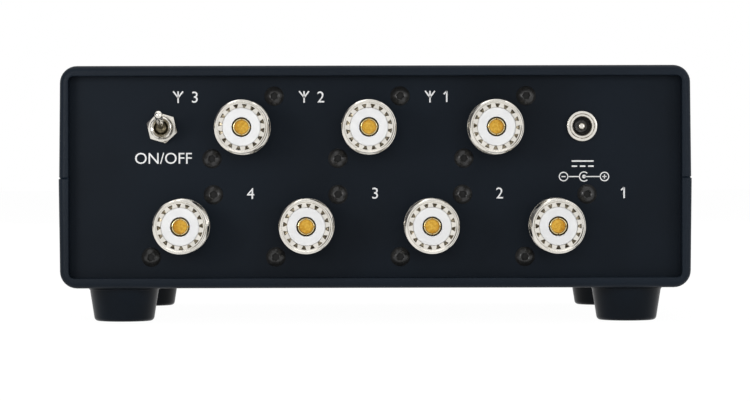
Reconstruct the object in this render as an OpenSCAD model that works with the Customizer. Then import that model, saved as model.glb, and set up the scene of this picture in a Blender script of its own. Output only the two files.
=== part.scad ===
// Coaxial antenna switch: four radio sockets, three antenna sockets, a power toggle and a
// power jack on the connector panel, and two rotary selectors on the control panel.
// Millimetres. +Z is up, the connector panel faces -Y and the control panel faces +Y.
// The origin lies under the middle of the whole object, on the surface that it stands on.

/* [Case] */
// Width across the sides of the case
case_w = 185; // [180:1:230]
// Depth of the case from rim to rim
case_d = 140; // [125:1:200]
// Height of the case without its feet
case_h = 65; // [64:0.5:80]
// Thickness of the case walls
wall = 2.2; // [1.8:0.1:2.6]
// Width of the rim that frames each panel
lip = 3; // [2.8:0.1:4]
// How far each panel lies behind its rim
recess = 5; // [3:0.5:6]
// Radius of the corners that run from rim to rim
corner_r = 5; // [4:0.5:8]
// Radius of the rounded outer edge of each rim
rim_r = 1.8; // [1:0.1:2.4]
// How much narrower each shell is at its outer face than at the seam, on each side
draft = 0.3; // [0:0.1:0.6]

/* [Panels] */
// Thickness of the connector panel and of the control panel
panel_t = 2; // [1.5:0.1:2.5]

/* [Feet] */
// Height of the feet
foot_h = 10; // [8:0.5:12]
// Diameter of a foot where it meets the case
foot_top_d = 20.8; // [18:0.2:22]
// Diameter of a foot at the bottom
foot_bottom_d = 17.4; // [15:0.2:18]
// Distance from the middle of the case to the centre of a foot
foot_x = 74.3; // [68:0.1:75]
// Distance from a rim to the centre of a foot
foot_inset = 15; // [14:0.5:25]

/* [Sockets] */
// Distance from one radio socket to the next
radio_pitch = 36.5; // [34:0.1:37]
// Distance from one antenna socket to the next
antenna_pitch = 36.9; // [34:0.1:37]
// Sideways place of the middle of both rows
row_x = -1.8; // [-3:0.1:3]
// Height of the radio row above the bottom of the case
radio_row_z = 18.15; // [17:0.05:20]
// Height of the antenna row above the radio row
row_rise = 28.85; // [28:0.05:30]
// Outer diameter of a socket's threaded barrel
barrel_d = 15.88; // [15.6:0.02:15.88]
// How far a socket's mouth stands out of the panel
barrel_reach = 15; // [12:0.5:17]
// Bore of a socket's centre contact
contact_bore_d = 4; // [3.9:0.05:4.1]
// Side of a socket's square flange
flange_w = 25.4; // [25:0.1:25.4]
// Distance between two neighbouring holes of a flange
flange_pitch = 18.26; // [18:0.02:18.4]
// Number of castellations round a socket's mouth
castellations = 16; // [8:1:20]

/* [Power toggle] */
// Angle of the lever above straight out, when it is up
lever_tilt = 14; // [10:1:15]
// Length of the lever from its ball to its tip
lever_len = 16; // [12:0.5:18]
// Diameter of the toggle's threaded bushing
bushing_d = 6.35; // [6:0.05:6.35]

/* [Power jack] */
// Outer diameter of the jack's flange
jack_flange_d = 9; // [8.8:0.1:11]
// Diameter of the hole that takes the plug
jack_hole_d = 5.66; // [5.5:0.02:5.8]
// Diameter of the jack's centre pin
jack_pin_d = 2.1; // [2:0.05:2.5]

/* [Selectors] */
// Distance from the middle of the case to each selector
selector_x = 45; // [36:1:52]
// Diameter of a selector's shaft
shaft_d = 6; // [5.9:0.05:6.1]
// Diameter of a knob's skirt
knob_skirt_d = 30; // [26:0.5:34]
// Diameter of a knob's grip
knob_grip_d = 23; // [20:0.5:25]
// Height of a knob
knob_h = 17; // [15:0.5:18]
// Number of flutes round a knob's grip
knob_flutes = 12; // [8:1:16]
// Angle between two neighbouring positions of a selector
step_angle = 30; // [30:1:36]

/* [Hidden] */
$fn = 48;
hull_fn = 32;
tiny = 0.01;
through = 1;
fit = 0.05;
slack = 0.2;
nut_face_share = 0.97;
nut_bevel = 30;

// Places along Y and Z
jack_z_out = 1.5;
pivot_out = 4.3;
lever_tip_r = 1.2;
lever_reach = pivot_out + (lever_len - lever_tip_r) * cos(lever_tilt) + lever_tip_r - recess;
knob_gap = 1;
knob_reach = knob_gap + knob_h - recess;
case_y = (lever_reach - knob_reach) / 2;
rear_panel_y = case_y - case_d / 2 + recess;
front_panel_y = case_y + case_d / 2 - recess;
case_top = foot_h + case_h;
seam_z = foot_h + case_h / 2 - 0.3;
radio_z = foot_h + radio_row_z;
antenna_z = radio_z + row_rise;
selector_z = foot_h + case_h / 2;
room_w = case_w - 2 * wall;
opening_w = case_w - 2 * lip;

// Case details
seam_bevel = 0.35;
seam_step = 0.15;
rib_t = 2;
rib_h = 2.5;
tongue_t = 0.9;
tongue_h = 1.4;
post_x = case_w / 2 - 8.5;
post_y = case_d / 2 - 30;
post_r = 4.8;
post_web_t = 2;
case_screw_seat = 4;
case_screw_len = 36;
screw_pilot_r = 1.5;
screw_shank_r = 1.45;
screw_pass_r = 1.7;
screw_head_r = 3;
screw_head_h = 2;
screw_well_r = 3.6;
foot_boss_r = 4;
foot_boss_h = 5;
foot_well = 6;
foot_round = 1;
foot_screw_len = 9;

// Sockets, measured out of the outer face of the connector panel
flange_t = 2;
flange_back = -panel_t - flange_t;
spacer_len = 10;
spacer_af = 5.5;
board_face = flange_back - spacer_len;
board_t = 1.6;
board_back = board_face - board_t;
panel_hole_play = 0.16;
mouth_lip_r = 7.25;
mouth_ledge = 0.8;
mouth_ledge_r = 6.95;
notch_w = 0.95;
notch_r = 6.7;
notch_depth = 1.4;
relief_r = 7.5;
relief_end = 0.5;
dielectric_r = 5.55;
dielectric_shoulder = -2;
dielectric_tail_r = 4.3;
dielectric_tail = 4;
contact_r = 2.5;
contact_back = flange_back - dielectric_tail + 1;
contact_pin_end = board_back - 1.5;
contact_sink = 1.6;
contact_bore_depth = 10;
contact_slots = 4;
contact_slot_w = 0.45;
contact_slot_depth = 6;
contact_pin_r = 1.25;
dielectric_sink = 0.3;
contact_recess_r = 2.75;
contact_recess_play = 1;
m3_shank_r = 1.5;
m3_hole_r = 1.65;
m3_tap_r = 1.55;
m3_head_r = 2.85;
m3_head_h = 1.65;
m3_key_af = 2;
m3_key_depth = 1;
m3_screw_len = 8;
board_screw_len = 6;

// Relay board
board_half_w = 70;
board_shoulder_w = 52;
board_bottom = foot_h + 4.5;
board_step_z = foot_h + 38;
board_top = case_top - 4.5;
relay_w = 14.4;
relay_shift = 1.6;
relay_h = 19;
relay_d = 15.3;
relay_gap = 2.4;
header_w = 20;
header_h = 6;
header_d = 9;
header_x = -11;
header_z = foot_h + 8;
ribbon_w = 13;
ribbon_t = 0.9;
ribbon_drop = 5;

// Toggle, measured out of the outer face of the connector panel
toggle_x = -62.4;
toggle_z = antenna_z - 0.1;
toggle_base_t = 1;
toggle_nose = 7;
toggle_bore_r = 2.3;
toggle_lip_r = 2;
toggle_mouth_r = 2.7;
toggle_dish = 0.8;
toggle_lip_z = pivot_out + 1.4;
toggle_body_w = 7.9;
toggle_body_h = 13.2;
toggle_body_d = 9.7;
toggle_nut_af = 8;
toggle_nut_t = 2;
toggle_nut_turn = 43;
toggle_back = -panel_t - toggle_base_t - toggle_body_d;
keyway_w = 1;
keyway_depth = 0.5;
lug_pitch = 4.7;
lug_w = 2;
lug_t = 0.8;
lug_len = 4.5;
ball_r = 2.2;
lever_root_r = 0.95;
lever_root_len = 4;
lever_tail_len = 3;
lever_tail_r = 0.8;
pivot_pin_r = 0.5;
pivot_pin_end = 2.75;

// Power jack, measured out of the outer face of the connector panel
jack_x = 60.6;
jack_z = antenna_z + 0.2;
jack_thread_r = 3.95;
jack_depth = 9;
jack_nut_af = 10;
jack_nut_t = 2;
jack_plug_r = jack_hole_d / 2 - fit;
jack_plug_len = 2.5;
jack_cap_r = 3.9;
jack_cap_t = 2.5;
jack_collar_r = 1.9;
jack_collar_len = 1.5;
jack_pin_tip = 0.4;
jack_pin_bevel = 0.5;
jack_tail_r = 0.8;
jack_tail_show = 0.3;
jack_groove_r = 3.57;
jack_groove_w = 0.3;
jack_groove_depth = 0.25;
jack_tail_reach = 1;
jack_tab_w = 2;
jack_tab_t = 0.5;
jack_tab_len = 4;
jack_tab_x = 2.4;

// Selectors, measured out of the outer face of the control panel
selector_plate_w = 18;
selector_plate_t = 1.5;
selector_bushing_r = 4.5;
selector_bushing_reach = 4.5;
selector_nut_af = 11;
selector_nut_t = 2;
selector_body_r = 12.5;
selector_body_d = 9;
selector_back = -panel_t - selector_plate_t - selector_body_d;
collar_r = 4.8;
collar_room_r = 5.2;
collar_room_d = 6;
collar_play = 0.3;
shaft_flat = 2.5;
shaft_flat_z = 6;
shaft_top = knob_gap + knob_h - 2;
knob_skirt_t = 2.5;
knob_bevel = 0.8;
knob_flute_r = 1.6;
knob_well_r = 8;
knob_well_d = 5;
pointer_w = 1.2;
pointer_depth = 0.5;
pointer_start = 4;
selector_board_w = 122;
selector_board_h = 34;
lamp_r = 2.5;
lamp_flange_r = 2.9;
lamp_flange_t = 1;
lamp_leg_reach = 1;
lamp_leg_x = 1.27;
lamp_leg_w = 0.5;
lamp_hole_r = 0.8;

// Leads
lead_r = 0.8;
lead_sides = 8;
lead_rings = 20;
lead_land_x = 2.4;
lead_land_z = foot_h + 28;
cross_lead_bow = 60;
toggle_lead_bow = 32;
toggle_land_bow = 30;
jack_lead_bow = 12;
jack_land_bow = 18;

socket_names = ["radio_4", "radio_3", "radio_2", "radio_1", "antenna_3", "antenna_2", "antenna_1"];
socket_pieces = ["shell", "insulator", "contact"];
first_notches = [3, 16.5, 16, 22.5, 14.5, 12.5, 20];
selector_names = ["radio_selector", "antenna_selector"];
selector_pieces = ["bushing", "housing", "shaft", "nut", "knob"];
selector_positions = [4, 3];
foot_names = ["foot_rear_left", "foot_rear_right", "foot_front_left", "foot_front_right"];

// Centre of socket number i, in the order of socket_names
function socket_x(i) = i < 4 ? row_x + (i - 1.5) * radio_pitch : row_x + (i - 5) * antenna_pitch;
function socket_z(i) = i < 4 ? radio_z : antenna_z;
function foot_side(i) = i % 2 == 0 ? -1 : 1;
function foot_end(i) = i < 2 ? -1 : 1;

// Places on the connector panel: the child's +Z leaves the panel and its +Y stays up
module on_rear(x, z) {
  translate([x, rear_panel_y, z])
    rotate([90, 0, 0])
      children();
}

// Places on the control panel: the child's +Z leaves the panel, and +X is the viewer's right
module on_front(x, z) {
  translate([-x, front_panel_y, z])
    rotate([90, 0, 180])
      children();
}

module at_sockets() {
  for (i = [0:6])
    on_rear(socket_x(i), socket_z(i))
      children();
}

// The two screw places of each socket: lower left and upper right
module at_socket_screws() {
  at_sockets()
    for (s = [-1, 1])
      translate([s * flange_pitch / 2, s * flange_pitch / 2, 0])
        children();
}

module at_posts() {
  for (sx = [-1, 1], sy = [-1, 1])
    translate([sx * post_x, case_y + sy * post_y, 0])
      children();
}

module at_feet() {
  for (i = [0:3])
    at_foot(i)
      children();
}

module at_foot(i) {
  translate([foot_side(i) * foot_x, case_y + foot_end(i) * (case_d / 2 - foot_inset), 0])
    children();
}

module tube(r, bore_r, z0, z1) {
  translate([0, 0, z0])
    difference() {
      cylinder(r = r, h = z1 - z0);
      translate([0, 0, -through])
        cylinder(r = bore_r, h = z1 - z0 + 2 * through);
    }
}

module rod(r, z0, z1) {
  translate([0, 0, z0])
    cylinder(r = r, h = z1 - z0);
}

module hex_rod(across_flats, z0, z1) {
  translate([0, 0, z0])
    cylinder(r = across_flats / sqrt(3), h = z1 - z0, $fn = 6);
}

// Hex nut, turned down at both faces to a circle across its flats
module hex_nut(across_flats, bore_r, z0, z1) {
  corner_r = across_flats / sqrt(3);
  face_r = across_flats / 2 * nut_face_share;
  drop = (corner_r - face_r) * tan(nut_bevel);
  difference() {
    intersection() {
      hex_rod(across_flats, z0, z1);
      rotate_extrude()
        polygon([
          [0, z0],
          [face_r, z0],
          [corner_r + tiny, z0 + drop],
          [corner_r + tiny, z1 - drop],
          [face_r, z1],
          [0, z1]
        ]);
    }
    rod(bore_r, z0 - through, z1 + through);
  }
}

module slab(w, d, h) {
  translate([-w / 2, -d / 2, 0])
    cube([w, d, h]);
}

// ---- Case ----

// Outer form of one shell, standing on its seam, with rounded rims and corners
module shell_block(seam_w, height) {
  hull()
    for (sx = [-1, 1], sy = [-1, 1]) {
      translate([sx * (seam_w / 2 - rim_r), sy * (case_d / 2 - rim_r), 0])
        cylinder(r1 = rim_r - seam_bevel, r2 = rim_r, h = seam_bevel, $fn = hull_fn);
      translate([sx * (seam_w / 2 - draft - corner_r), sy * (case_d / 2 - rim_r), height - corner_r])
        rotate([90, 0, 0])
          rotate_extrude($fn = hull_fn)
            translate([corner_r - rim_r, 0])
              circle(r = rim_r, $fn = hull_fn);
    }
}

// One shell with its room, its rim openings and the rib behind each panel
module shell_half(seam_w, height) {
  room_d = case_d - 2 * recess;
  rib_at = room_d / 2 - panel_t - rib_t / 2;
  difference() {
    shell_block(seam_w, height);
    translate([0, 0, -through])
      slab(room_w, room_d, height - wall + through);
    translate([0, 0, -through])
      slab(opening_w, case_d + 2 * through, height - lip + through);
  }
  for (s = [-1, 1])
    translate([0, s * rib_at, 0])
      difference() {
        slab(room_w + tiny, rib_t, height - wall + tiny);
        translate([0, 0, -through])
          slab(room_w - 2 * rib_h, rib_t + 2 * through, height - wall - rib_h + through);
      }
}

// A post with the web that ties it to the side wall, standing on the seam
module post(side, r, height) {
  cylinder(r = r, h = height);
  translate([side > 0 ? 0 : post_x - room_w / 2, -post_web_t / 2, 0])
    cube([room_w / 2 - post_x, post_web_t, height]);
}

module posts(r, height) {
  for (sx = [-1, 1], sy = [-1, 1])
    translate([sx * post_x, sy * post_y, 0])
      post(sx, r, height);
}

module top_shell() {
  height = case_top - seam_z;
  tongue_d = 2 * (case_d / 2 - recess - panel_t - rib_t - through);
  color("#26292d")
    translate([0, case_y, seam_z])
      difference() {
        union() {
          shell_half(case_w - 2 * seam_step, height);
          posts(post_r, height - wall);
          for (s = [-1, 1])
            translate([s * (room_w + tongue_t) / 2, 0, -tongue_h])
              slab(tongue_t, tongue_d, tongue_h + wall);
        }
        for (sx = [-1, 1], sy = [-1, 1])
          translate([sx * post_x, sy * post_y, -through])
            cylinder(r = screw_pilot_r, h = height - wall);
      }
}

module bottom_shell() {
  height = seam_z - foot_h;
  rebate_d = 2 * (case_d / 2 - recess - panel_t - rib_t) - through;
  color("#26292d")
    difference() {
      union() {
        translate([0, case_y, seam_z])
          mirror([0, 0, 1]) {
            shell_half(case_w, height);
            posts(post_r, height - wall);
          }
        at_feet()
          rod(foot_boss_r, foot_h + tiny, foot_h + wall + foot_boss_h);
      }
      translate([0, case_y, seam_z - tongue_h - slack])
        for (s = [-1, 1])
          translate([s * (room_w / 2 + tongue_t / 2), 0, 0])
            slab(tongue_t + 2 * slack, rebate_d, tongue_h + slack + through);
      at_posts() {
        rod(screw_pass_r, foot_h - through, seam_z + through);
        rod(screw_well_r, foot_h - through, foot_h + case_screw_seat);
      }
      at_feet()
        rod(screw_pilot_r, foot_h - through, foot_h + wall + foot_boss_h + through);
    }
}

// The outline that both panels share, set in the slots between rims and ribs
module panel_outline() {
  translate([-room_w / 2 + slack, foot_h + wall])
    square([room_w - 2 * slack, case_h - 2 * wall]);
}

module rear_panel() {
  hole_r = barrel_d / 2 + panel_hole_play;
  color("#24282c")
    translate([0, rear_panel_y + panel_t, 0])
      rotate([90, 0, 0])
        linear_extrude(panel_t)
          difference() {
            panel_outline();
            for (i = [0:6])
              translate([socket_x(i), socket_z(i)]) {
                circle(r = hole_r);
                for (s = [-1, 1])
                  translate([s * flange_pitch / 2, s * flange_pitch / 2])
                    circle(r = m3_hole_r);
              }
            translate([toggle_x, toggle_z])
              circle(r = bushing_d / 2 + slack);
            translate([jack_x, jack_z])
              circle(r = jack_thread_r + slack);
          }
}

module front_panel() {
  color("#24282c")
    translate([0, front_panel_y, 0])
      rotate([90, 0, 0])
        linear_extrude(panel_t)
          difference() {
            panel_outline();
            for (s = [-1, 1])
              translate([s * selector_x, selector_z])
                circle(r = selector_bushing_r + slack);
            translate([0, selector_z])
              circle(r = lamp_r + fit);
          }
}

// A screw that is driven upwards, with the underside of its head at z
module upward_screw(z, len) {
  rod(screw_head_r, z - screw_head_h, z);
  rod(screw_shank_r, z - tiny, z + len);
}

module case_screws() {
  color("#3a3a3c")
    at_posts()
      upward_screw(foot_h + case_screw_seat, case_screw_len);
}

module foot_screws() {
  color("#3a3a3c")
    at_feet()
      upward_screw(foot_well, foot_screw_len);
}

// Tapered foot with a rounded bottom edge and a deep well for its screw
module foot(i) {
  color("#1d2024")
    at_foot(i)
      rotate_extrude()
        difference() {
          foot_profile();
          translate([0, -through])
            square([screw_well_r, foot_well + through]);
          translate([0, -through])
            square([screw_pass_r, foot_h + 2 * through]);
        }
}

module foot_profile() {
  taper = (foot_top_d - foot_bottom_d) / 2 / foot_h;
  polygon([
    [0, 0],
    [foot_bottom_d / 2 - foot_round, 0],
    for (a = [15:15:75])
      [
        foot_bottom_d / 2 - foot_round * (1 - sin(a)) + taper * foot_round * (1 - cos(a)),
        foot_round * (1 - cos(a))
      ],
    [foot_bottom_d / 2 + taper * foot_round, foot_round],
    [foot_top_d / 2, foot_h],
    [0, foot_h]
  ]);
}

// ---- Sockets ----

// Nickel-plated shell: square flange behind the panel, barrel through it, castellated mouth
module socket_shell(first_notch) {
  mouth = barrel_reach;
  ledge = mouth - mouth_ledge;
  difference() {
    union() {
      translate([0, 0, flange_back])
        linear_extrude(flange_t)
          difference() {
            square(flange_w, center = true);
            for (sx = [-1, 1], sy = [-1, 1])
              translate([sx * flange_pitch / 2, sy * flange_pitch / 2])
                circle(r = m3_hole_r);
          }
      rod(relief_r, flange_back + tiny, relief_end + tiny);
      rod(barrel_d / 2, relief_end, mouth);
    }
    rod(dielectric_r + fit, dielectric_shoulder, mouth + through);
    rod(dielectric_tail_r + fit, flange_back - through, 0);
    translate([0, 0, ledge])
      cylinder(r1 = mouth_ledge_r, r2 = mouth_lip_r, h = mouth_ledge + tiny);
    for (i = [0:castellations - 1])
      rotate(first_notch + i * 360 / castellations)
        translate([0, -notch_w / 2, ledge - notch_depth])
          cube([notch_r, notch_w, notch_depth + tiny]);
  }
}

// White insulator: seats on the shell's inner shoulder and ends behind the flange
module socket_insulator() {
  front = barrel_reach - mouth_ledge - dielectric_sink;
  difference() {
    union() {
      rod(dielectric_r, dielectric_shoulder, front);
      rod(dielectric_tail_r, flange_back - dielectric_tail, dielectric_shoulder + tiny);
    }
    rod(contact_r + fit, contact_back, front + through);
    rod(contact_recess_r, front - contact_slot_depth - contact_recess_play, front + through);
    rod(contact_pin_r + fit, flange_back - dielectric_tail - through, 0);
  }
}

// Gilt centre contact: slotted spring fingers in front, solder pin through the relay board
module socket_contact() {
  front = barrel_reach - contact_sink;
  difference() {
    union() {
      rod(contact_r, contact_back, front);
      rod(contact_pin_r, contact_pin_end, 0);
    }
    rod(contact_bore_d / 2, front - contact_bore_depth, front + through);
    for (i = [0:contact_slots / 2 - 1])
      rotate(i * 360 / contact_slots)
        translate([-contact_r - through, -contact_slot_w / 2, front - contact_slot_depth])
          cube([2 * (contact_r + through), contact_slot_w, contact_slot_depth + through]);
  }
}

module socket_piece(i, piece) {
  on_rear(socket_x(i), socket_z(i)) {
    if (piece == "shell")
      color("#cfd0cc") socket_shell(first_notches[i]);
    if (piece == "insulator")
      color("#f2f2f0") socket_insulator();
    if (piece == "contact")
      color("#d9a53a") socket_contact();
  }
}

// Button head with a hex recess, on a plain shank
module button_screw(len) {
  dome_r = (m3_head_r * m3_head_r + m3_head_h * m3_head_h) / (2 * m3_head_h);
  difference() {
    union() {
      rotate_extrude()
        intersection() {
          square([m3_head_r, m3_head_h]);
          translate([0, m3_head_h - dome_r])
            circle(r = dome_r);
        }
      rod(m3_shank_r, -len, tiny);
    }
    hex_rod(m3_key_af, m3_head_h - m3_key_depth, m3_head_h + through);
  }
}

module socket_screws() {
  color("#2a2a2c")
    at_socket_screws()
      button_screw(m3_screw_len);
}

module board_spacers() {
  color("#c8a24a")
    at_socket_screws()
      difference() {
        hex_rod(spacer_af, board_face, flange_back);
        rod(m3_tap_r, board_face - through, flange_back + through);
      }
}

module board_screws() {
  color("#9a9a9c")
    at_socket_screws()
      translate([0, 0, board_back])
        mirror([0, 0, 1])
          button_screw(board_screw_len);
}

// ---- Relay board ----

module relay_board() {
  color("#2f6b3c")
    translate([0, rear_panel_y - board_face + board_t, 0])
      rotate([90, 0, 0])
        linear_extrude(board_t)
          difference() {
            polygon([
              [-board_half_w, board_bottom],
              [board_half_w, board_bottom],
              [board_half_w, board_step_z],
              [board_shoulder_w, board_step_z],
              [board_shoulder_w, board_top],
              [-board_shoulder_w, board_top],
              [-board_shoulder_w, board_step_z],
              [-board_half_w, board_step_z]
            ]);
            for (i = [0:6])
              translate([socket_x(i), socket_z(i)]) {
                circle(r = contact_pin_r + fit);
                for (s = [-1, 1])
                  translate([s * flange_pitch / 2, s * flange_pitch / 2])
                    circle(r = m3_hole_r);
              }
          }
}

// One relay beside each socket's contact: above it in the radio row, below it in the antenna row
module relays() {
  color("#2b5fa8")
    for (i = [0:6])
      translate([
        socket_x(i) - relay_w / 2 + (i < 4 ? -relay_shift : relay_shift),
        rear_panel_y - board_back,
        i < 4 ? radio_z + relay_gap : antenna_z - relay_gap - relay_h
      ])
        cube([relay_w, relay_d, relay_h]);
}

// Flat cable between the two boards: a plug at each end and a ribbon that dips between them
module control_cable() {
  y0 = rear_panel_y - board_back + header_d;
  y1 = front_panel_y + selector_back - board_t - header_d;
  steps = 16;
  path = [for (i = [0:steps]) [
    y0 + (y1 - y0) * i / steps,
    header_z - ribbon_drop * (1 - cos(360 * i / steps)) / 2
  ]];
  color("#8f9499")
    translate([header_x - ribbon_w / 2, 0, 0])
      rotate([90, 0, 90])
        linear_extrude(ribbon_w)
          polygon(concat(
            [for (p = path) [p[0], p[1] - ribbon_t / 2]],
            [for (i = [steps:-1:0]) [path[i][0], path[i][1] + ribbon_t / 2]]
          ));
  color("#2c2c2e") {
    for (y = [y0 - header_d, y1])
      translate([header_x - header_w / 2, y, header_z - header_h / 2])
        cube([header_w, header_d, header_h]);
  }
}

// ---- Toggle ----

module toggle_bushing() {
  color("#c9c8c2")
    on_rear(toggle_x, toggle_z)
      difference() {
        union() {
          translate([0, 0, -panel_t - toggle_base_t])
            slab(toggle_body_w, toggle_body_h, toggle_base_t);
          rod(bushing_d / 2, -panel_t - tiny, toggle_nose);
        }
        rod(toggle_bore_r, -panel_t - toggle_base_t - through, toggle_lip_z);
        rod(toggle_lip_r, 0, toggle_nose);
        translate([0, 0, toggle_nose - toggle_dish])
          cylinder(r1 = toggle_lip_r, r2 = toggle_mouth_r, h = toggle_dish + tiny);
        translate([-keyway_w / 2, -bushing_d / 2 - tiny, -panel_t])
          cube([keyway_w, keyway_depth, toggle_nose + panel_t + through]);
        across_pivot(pivot_pin_r + fit, pivot_pin_end + fit);
      }
}

// A round bar along the axis that the lever turns about
module across_pivot(r, reach) {
  translate([-reach, 0, pivot_out])
    rotate([0, 90, 0])
      cylinder(r = r, h = 2 * reach);
}

module toggle_housing() {
  color("#1f3f8a")
    on_rear(toggle_x, toggle_z)
      translate([0, 0, toggle_back])
        slab(toggle_body_w, toggle_body_h, toggle_body_d);
}

// Lever with its ball, tail and cross pin, turned about the ball's centre
module toggle_lever() {
  color("#d4d3cd")
    on_rear(toggle_x, toggle_z) {
      across_pivot(pivot_pin_r, pivot_pin_end);
      translate([0, 0, pivot_out])
        rotate([-lever_tilt, 0, 0])
          union() {
            sphere(r = ball_r);
            rotate_extrude()
              polygon([
                [0, -lever_tail_len],
                [lever_tail_r, -lever_tail_len],
                [lever_tail_r, 0],
                [lever_root_r, 0],
                [lever_root_r, lever_root_len],
                [lever_tip_r, lever_len - lever_tip_r],
                [0, lever_len - lever_tip_r]
              ]);
            translate([0, 0, lever_len - lever_tip_r])
              sphere(r = lever_tip_r);
          }
    }
}

module toggle_nut() {
  color("#d0d0cb")
    on_rear(toggle_x, toggle_z)
      rotate(toggle_nut_turn)
        hex_nut(toggle_nut_af, bushing_d / 2 + fit, 0, toggle_nut_t);
}

module toggle_lugs() {
  color("#c9c8c2")
    on_rear(toggle_x, toggle_z)
      for (i = [-1:1])
        translate([0, i * lug_pitch, toggle_back - lug_len])
          difference() {
            slab(lug_w, lug_t, lug_len);
            translate([0, lug_t, lug_len / 3])
              rotate([90, 0, 0])
                cylinder(r = lug_w / 4, h = 2 * lug_t);
          }
}

// ---- Power jack ----

module jack_barrel() {
  groove_half = jack_groove_w / 2;
  color("#d3d4d0")
    on_rear(jack_x, jack_z)
      difference() {
        union() {
          rod(jack_flange_d / 2, 0, jack_z_out);
          rod(jack_thread_r, -jack_depth, tiny);
        }
        rod(jack_hole_d / 2, -jack_depth - through, jack_z_out + through);
        translate([0, 0, jack_z_out])
          tube(jack_groove_r + groove_half, jack_groove_r - groove_half, -jack_groove_depth, through);
      }
}

module jack_insulator() {
  plug_front = -jack_depth + jack_plug_len;
  color("#3a3c40")
    on_rear(jack_x, jack_z)
      difference() {
        union() {
          rod(jack_cap_r, -jack_depth - jack_cap_t, -jack_depth);
          rod(jack_plug_r, -jack_depth - tiny, plug_front);
          rod(jack_collar_r, plug_front - tiny, plug_front + jack_collar_len);
        }
        rod(jack_tail_r + fit, -jack_depth - jack_cap_t - through, 0);
      }
}

// Centre pin, thinner where the insulator holds it
module jack_pin() {
  pin_r = jack_pin_d / 2;
  shoulder = -jack_depth + jack_plug_len + jack_collar_len + jack_tail_show;
  color("#d8d8d4")
    on_rear(jack_x, jack_z) {
      rod(jack_tail_r, -jack_depth - jack_cap_t - jack_tail_reach, shoulder + tiny);
      rod(pin_r, shoulder, jack_pin_tip - jack_pin_bevel);
      translate([0, 0, jack_pin_tip - jack_pin_bevel])
        cylinder(r1 = pin_r, r2 = pin_r - jack_pin_bevel, h = jack_pin_bevel);
    }
}

module jack_nut() {
  color("#d0d0cb")
    on_rear(jack_x, jack_z)
      hex_nut(jack_nut_af, jack_thread_r + fit, -panel_t - jack_nut_t, -panel_t);
}

module jack_tabs() {
  color("#c9c8c2")
    on_rear(jack_x, jack_z)
      for (s = [-1, 1])
        translate([s * jack_tab_x, 0, -jack_depth - jack_cap_t - jack_tab_len])
          slab(jack_tab_t, jack_tab_w, jack_tab_len);
}

// ---- Leads ----

// Point and direction at t on the curve that leaves p[0] and reaches p[3]
function bezier(p, t) =
  pow(1 - t, 3) * p[0] + 3 * t * pow(1 - t, 2) * p[1] + 3 * t * t * (1 - t) * p[2] + pow(t, 3) * p[3];
function bezier_dir(p, t) =
  let (d = pow(1 - t, 2) * (p[1] - p[0]) + 2 * t * (1 - t) * (p[2] - p[1]) + t * t * (p[3] - p[2]))
    d / norm(d);

// A round lead along one smooth curve, as one tube
module lead(p) {
  up = [0, 0.3, 1];
  points = [for (i = [0:lead_rings])
    let (
      dir = bezier_dir(p, i / lead_rings),
      side = cross(dir, up) / norm(cross(dir, up)),
      lift = cross(dir, side)
    )
      for (k = [0:lead_sides - 1])
        let (a = k * 360 / lead_sides)
          bezier(p, i / lead_rings) + lead_r * (cos(a) * side + sin(a) * lift)];
  last = lead_rings * lead_sides;
  sides = [for (i = [0:lead_rings - 1], k = [0:lead_sides - 1])
    let (a = i * lead_sides + k, b = i * lead_sides + (k + 1) % lead_sides)
      each [[a, b, a + lead_sides], [b, b + lead_sides, a + lead_sides]]];
  start_cap = [for (k = [1:lead_sides - 2]) [0, k + 1, k]];
  end_cap = [for (k = [1:lead_sides - 2]) [last, last + k, last + k + 1]];
  polyhedron(points = points, faces = concat(sides, start_cap, end_cap));
}

// A lead between two points that it leaves and reaches square to the connector panel
module panel_lead(from, from_bow, to, to_bow) {
  lead([from, from + [0, from_bow, 0], to + [0, to_bow, 0], to]);
}

// Leads from the jack to the toggle, and from both to the relay board
module power_leads() {
  jack_y = rear_panel_y + jack_depth + jack_cap_t + jack_tab_len;
  toggle_y = rear_panel_y - toggle_back + lug_len;
  board_y = rear_panel_y - board_back;
  color("#b03030") {
    panel_lead(
      [jack_x + jack_tab_x, jack_y, jack_z], cross_lead_bow,
      [toggle_x, toggle_y, toggle_z], cross_lead_bow
    );
    panel_lead(
      [toggle_x, toggle_y, toggle_z - lug_pitch], toggle_lead_bow,
      [lead_land_x - board_half_w, board_y, lead_land_z], toggle_land_bow
    );
  }
  color("#202022")
    panel_lead(
      [jack_x - jack_tab_x, jack_y, jack_z], jack_lead_bow,
      [board_half_w - lead_land_x, board_y, lead_land_z], jack_land_bow
    );
}

// ---- Selectors ----

// Metal bushing with its mounting plate, through the control panel
module selector_bushing() {
  difference() {
    union() {
      translate([0, 0, -panel_t - selector_plate_t])
        slab(selector_plate_w, selector_plate_w, selector_plate_t);
      rod(selector_bushing_r, -panel_t - tiny, selector_bushing_reach);
    }
    rod(shaft_d / 2 + fit, -panel_t - selector_plate_t - through, selector_bushing_reach + through);
  }
}

// Moulded switch body with the room where the shaft's collar turns
module selector_housing() {
  front = -panel_t - selector_plate_t;
  difference() {
    rod(selector_body_r, selector_back, front);
    rod(collar_room_r, front - collar_room_d, front + through);
    rod(shaft_d / 2 + fit, selector_back - through, front);
  }
}

module selector_shaft() {
  collar_top = -panel_t - selector_plate_t - collar_play;
  difference() {
    union() {
      rod(shaft_d / 2, selector_back + collar_play, shaft_top);
      rod(collar_r, collar_top - collar_room_d + 2 * collar_play, collar_top);
    }
    translate([-shaft_d, shaft_flat, shaft_flat_z])
      cube([2 * shaft_d, shaft_d, shaft_top]);
  }
}

module selector_nut() {
  hex_nut(selector_nut_af, selector_bushing_r + fit, 0, selector_nut_t);
}

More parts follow.
